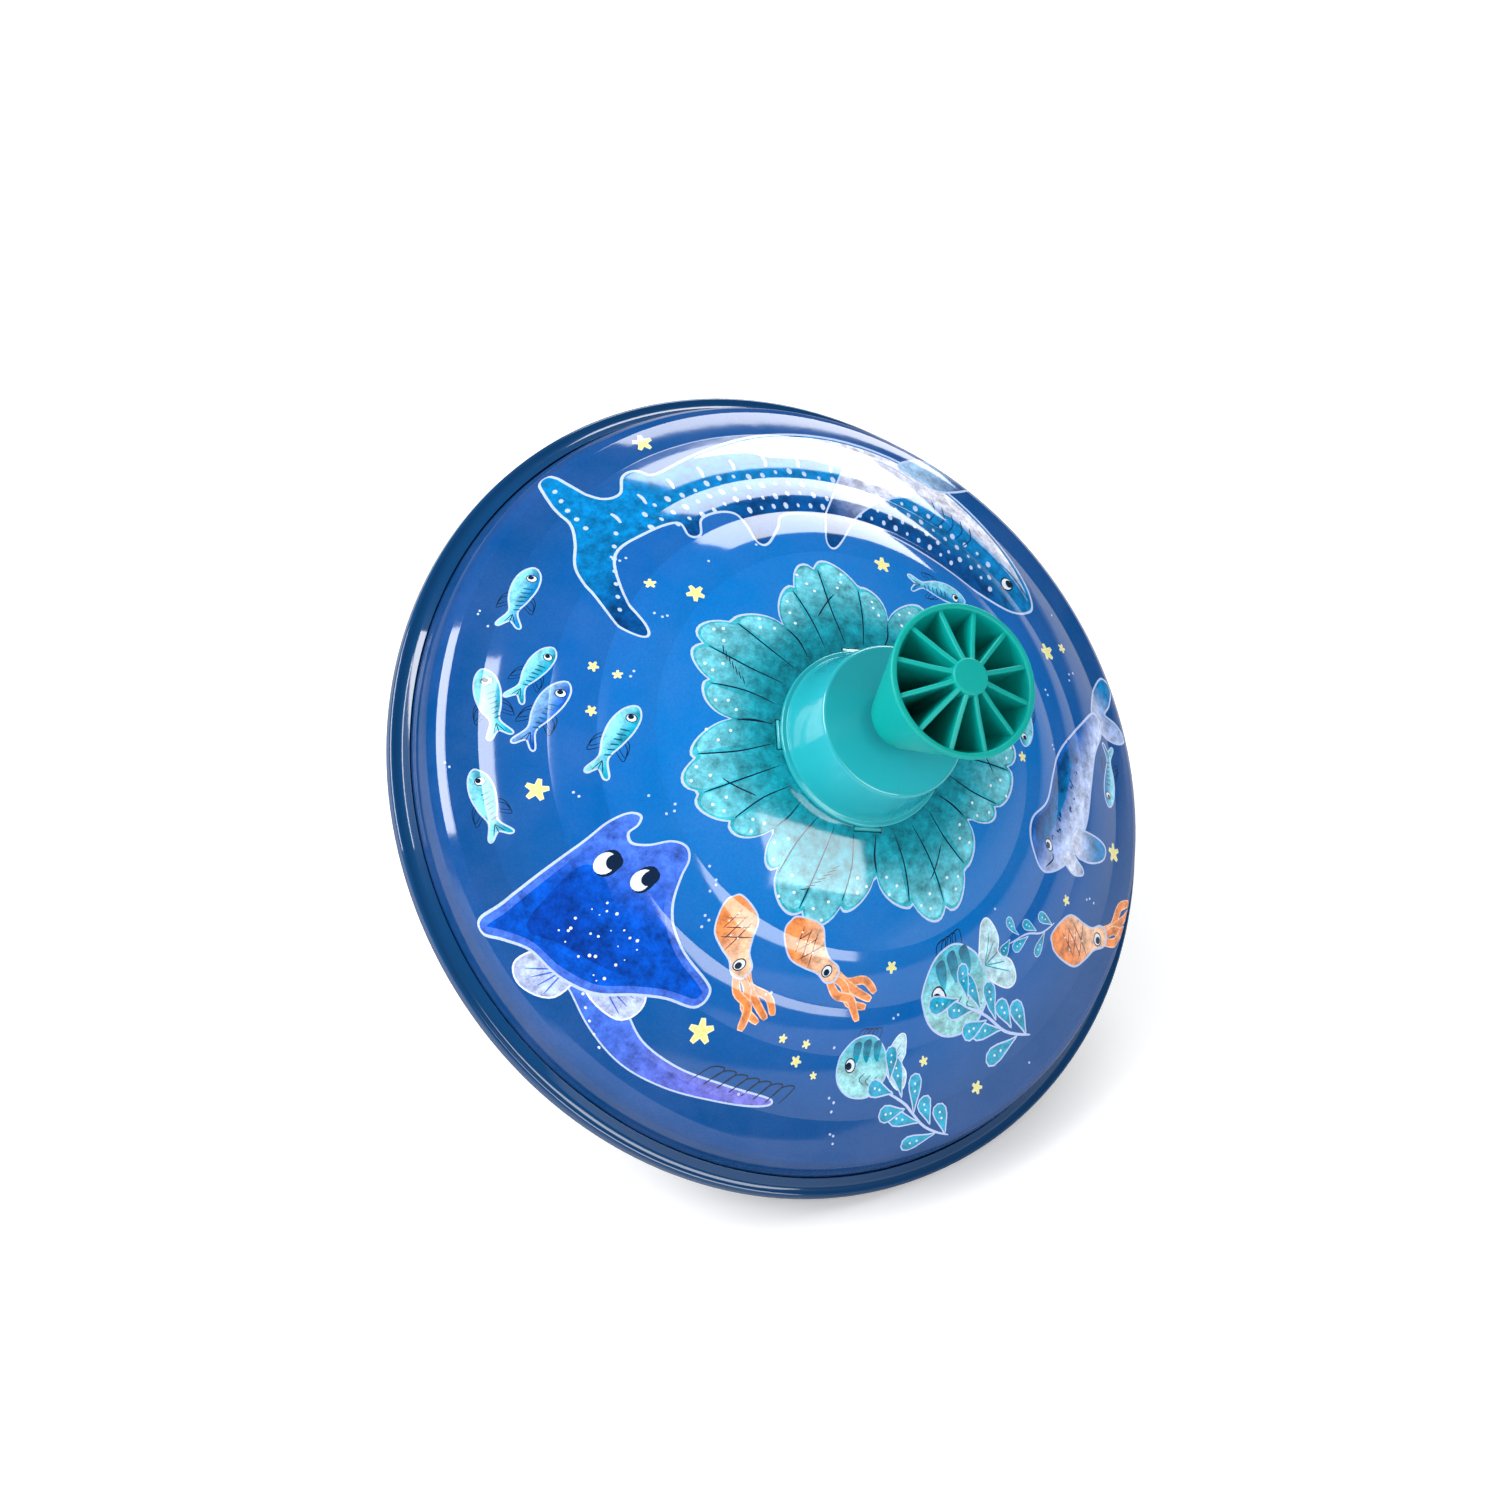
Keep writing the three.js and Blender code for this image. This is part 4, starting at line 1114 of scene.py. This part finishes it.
# Twisted strip: zinc-plated steel, flat where it is held in the knob and in the stop bush, with a
# steady right-hand twist between.
STRIP_WIDTH = 5
STRIP_THICK = 1.6
STRIP_PITCH = 60
strip_low, strip_high = (corner.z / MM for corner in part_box("twisted_rod"))
HELD_BELOW = 8
HELD_ABOVE = 18.8
twist_low = strip_low + HELD_BELOW
twist_high = strip_high - HELD_ABOVE
strip_turn = tau * (twist_low - twist_high) / STRIP_PITCH
wide = STRIP_WIDTH / 2
thin = STRIP_THICK / 2
section = [(-wide, 0.3 - thin), (0.3 - wide, -thin), (0, -thin), (wide - 0.3, -thin), (wide, 0.3 - thin),
           (wide, thin - 0.3), (wide - 0.3, thin), (0, thin), (0.3 - wide, thin), (-wide, thin - 0.3)]


def turned(bm, verts, angle):
    """Turns points about the spin axis."""
    bmesh.ops.rotate(bm, verts=verts, cent=(0, 0, 0), matrix=Matrix.Rotation(angle, 3, "Z"))


def drawn_out(bm, face, rise, turn, steps):
    """Pushes a face up along the axis while it turns, step by step."""
    for _ in range(steps):
        grown = bmesh.ops.extrude_discrete_faces(bm, faces=[face])["faces"][0]
        bmesh.ops.translate(bm, verts=grown.verts, vec=(0, 0, rise / steps * MM))
        turned(bm, grown.verts, turn / steps)
        face = grown
    return face


strip_bm = bmesh.new()
verts = [strip_bm.verts.new((x * MM, y * MM, strip_low * MM)) for x, y in section]
face = strip_bm.faces.new(verts)
turned(strip_bm, verts, strip_turn)
# A copy of the first face stays behind and closes the lower end.
bmesh.ops.duplicate(strip_bm, geom=[face])
face = drawn_out(strip_bm, face, HELD_BELOW, 0, 2)
face = drawn_out(strip_bm, face, twist_high - twist_low, -strip_turn, 120)
face = drawn_out(strip_bm, face, HELD_ABOVE, 0, 2)
bmesh.ops.remove_doubles(strip_bm, verts=strip_bm.verts, dist=1e-6)
bmesh.ops.recalc_face_normals(strip_bm, faces=strip_bm.faces)
strip = mesh_object("twisted_strip", strip_bm)
strip.data.shade_smooth()
strip.data.set_sharp_from_angle(angle=radians(40))
strip.data.materials.append(zinc_plate)
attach(strip, "plunger")
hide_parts("twisted_rod")

# Push knob: an open moulded cone with twelve thin ribs that rise to a flat hub in the middle.
# The strip is held in the hub, and the palm pushes on the hub and the rim.
knob_low, knob_top = (corner.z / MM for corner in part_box("knob"))
KNOB_RIM = knob_low + 30.5
knob_line = [
    (2.95, knob_low, 0.1), (7, knob_low, 0.8), (17.6, KNOB_RIM, 0.6), (16.05, KNOB_RIM, 0.5),
    (6.6, knob_low + 3, 0.8), (2.95, knob_low + 3, 0),
]
knob = mesh_object("push_knob", spun(rounded(knob_line), 128))
hub_line = [
    (0, knob_low + 18.3, 0), (3.05, knob_low + 18.3, 0), (3.05, knob_low + 1, 0),
    (4.2, knob_low + 1, 0), (4.2, knob_top, 0.5), (0, knob_top, 0),
]
# The hub is turned a little, so that its edges cross the cone's and don't lie along them.
HUB_TURN = 1.3
hub_bm = spun(rounded(hub_line), 64)
turned(hub_bm, hub_bm.verts, radians(HUB_TURN))
hub = mesh_object("knob_hub", hub_bm)
RIB_THICK = 1.15
rib_line = [
    (3.6, knob_low + 2), (6.6, knob_low + 2), (16.9, KNOB_RIM - 0.7), (8.2, KNOB_RIM + 1.4),
    (3.6, knob_top - 0.35),
]
rib_bm = bmesh.new()
for k in range(12):
    verts = [rib_bm.verts.new((r * MM, -RIB_THICK / 2 * MM, z * MM)) for r, z in rib_line]
    side = rib_bm.faces.new(verts)
    grown = bmesh.ops.extrude_face_region(rib_bm, geom=[side])["geom"]
    far = [v for v in grown if isinstance(v, bmesh.types.BMVert)]
    bmesh.ops.translate(rib_bm, verts=far, vec=(0, RIB_THICK * MM, 0))
    turned(rib_bm, verts + far, radians(30 * k))
bmesh.ops.recalc_face_normals(rib_bm, faces=rib_bm.faces)
tops = [
    e for e in rib_bm.edges
    if all(v.co.z > (KNOB_RIM - 0.8) * MM for v in e.verts)
    and abs(e.verts[0].co.xy.length - e.verts[1].co.xy.length) > 2 * MM
]
bmesh.ops.bevel(
    rib_bm, geom=tops, offset=0.35 * MM, segments=3, profile=0.5, affect="EDGES", material=-1
)
ribs = mesh_object("knob_ribs", rib_bm)
for part in (hub, ribs):
    join = knob.modifiers.new("moulded_" + part.name, "BOOLEAN")
    join.operation = "UNION"
    join.solver = "MANIFOLD"
    join.object = part


def settle(piece):
    """Makes the modified shape the piece's own mesh, without slivers."""
    bpy.context.view_layer.update()
    changed = piece.evaluated_get(bpy.context.evaluated_depsgraph_get())
    solid = bpy.data.meshes.new_from_object(changed)
    bm = bmesh.new()
    bm.from_mesh(solid)
    bmesh.ops.remove_doubles(bm, verts=bm.verts, dist=2e-6)
    bmesh.ops.dissolve_degenerate(bm, edges=bm.edges, dist=2e-6)
    bm.to_mesh(solid)
    bm.free()
    piece.modifiers.clear()
    piece.data = solid


settle(knob)
for part in (hub, ribs):
    bpy.data.objects.remove(part)
knob.data.shade_smooth()
knob.data.set_sharp_from_angle(angle=radians(35))
smooth_faces(knob)
knob.data.materials.clear()
knob.data.materials.append(green_moulding)
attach(knob, "plunger")
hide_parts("knob")
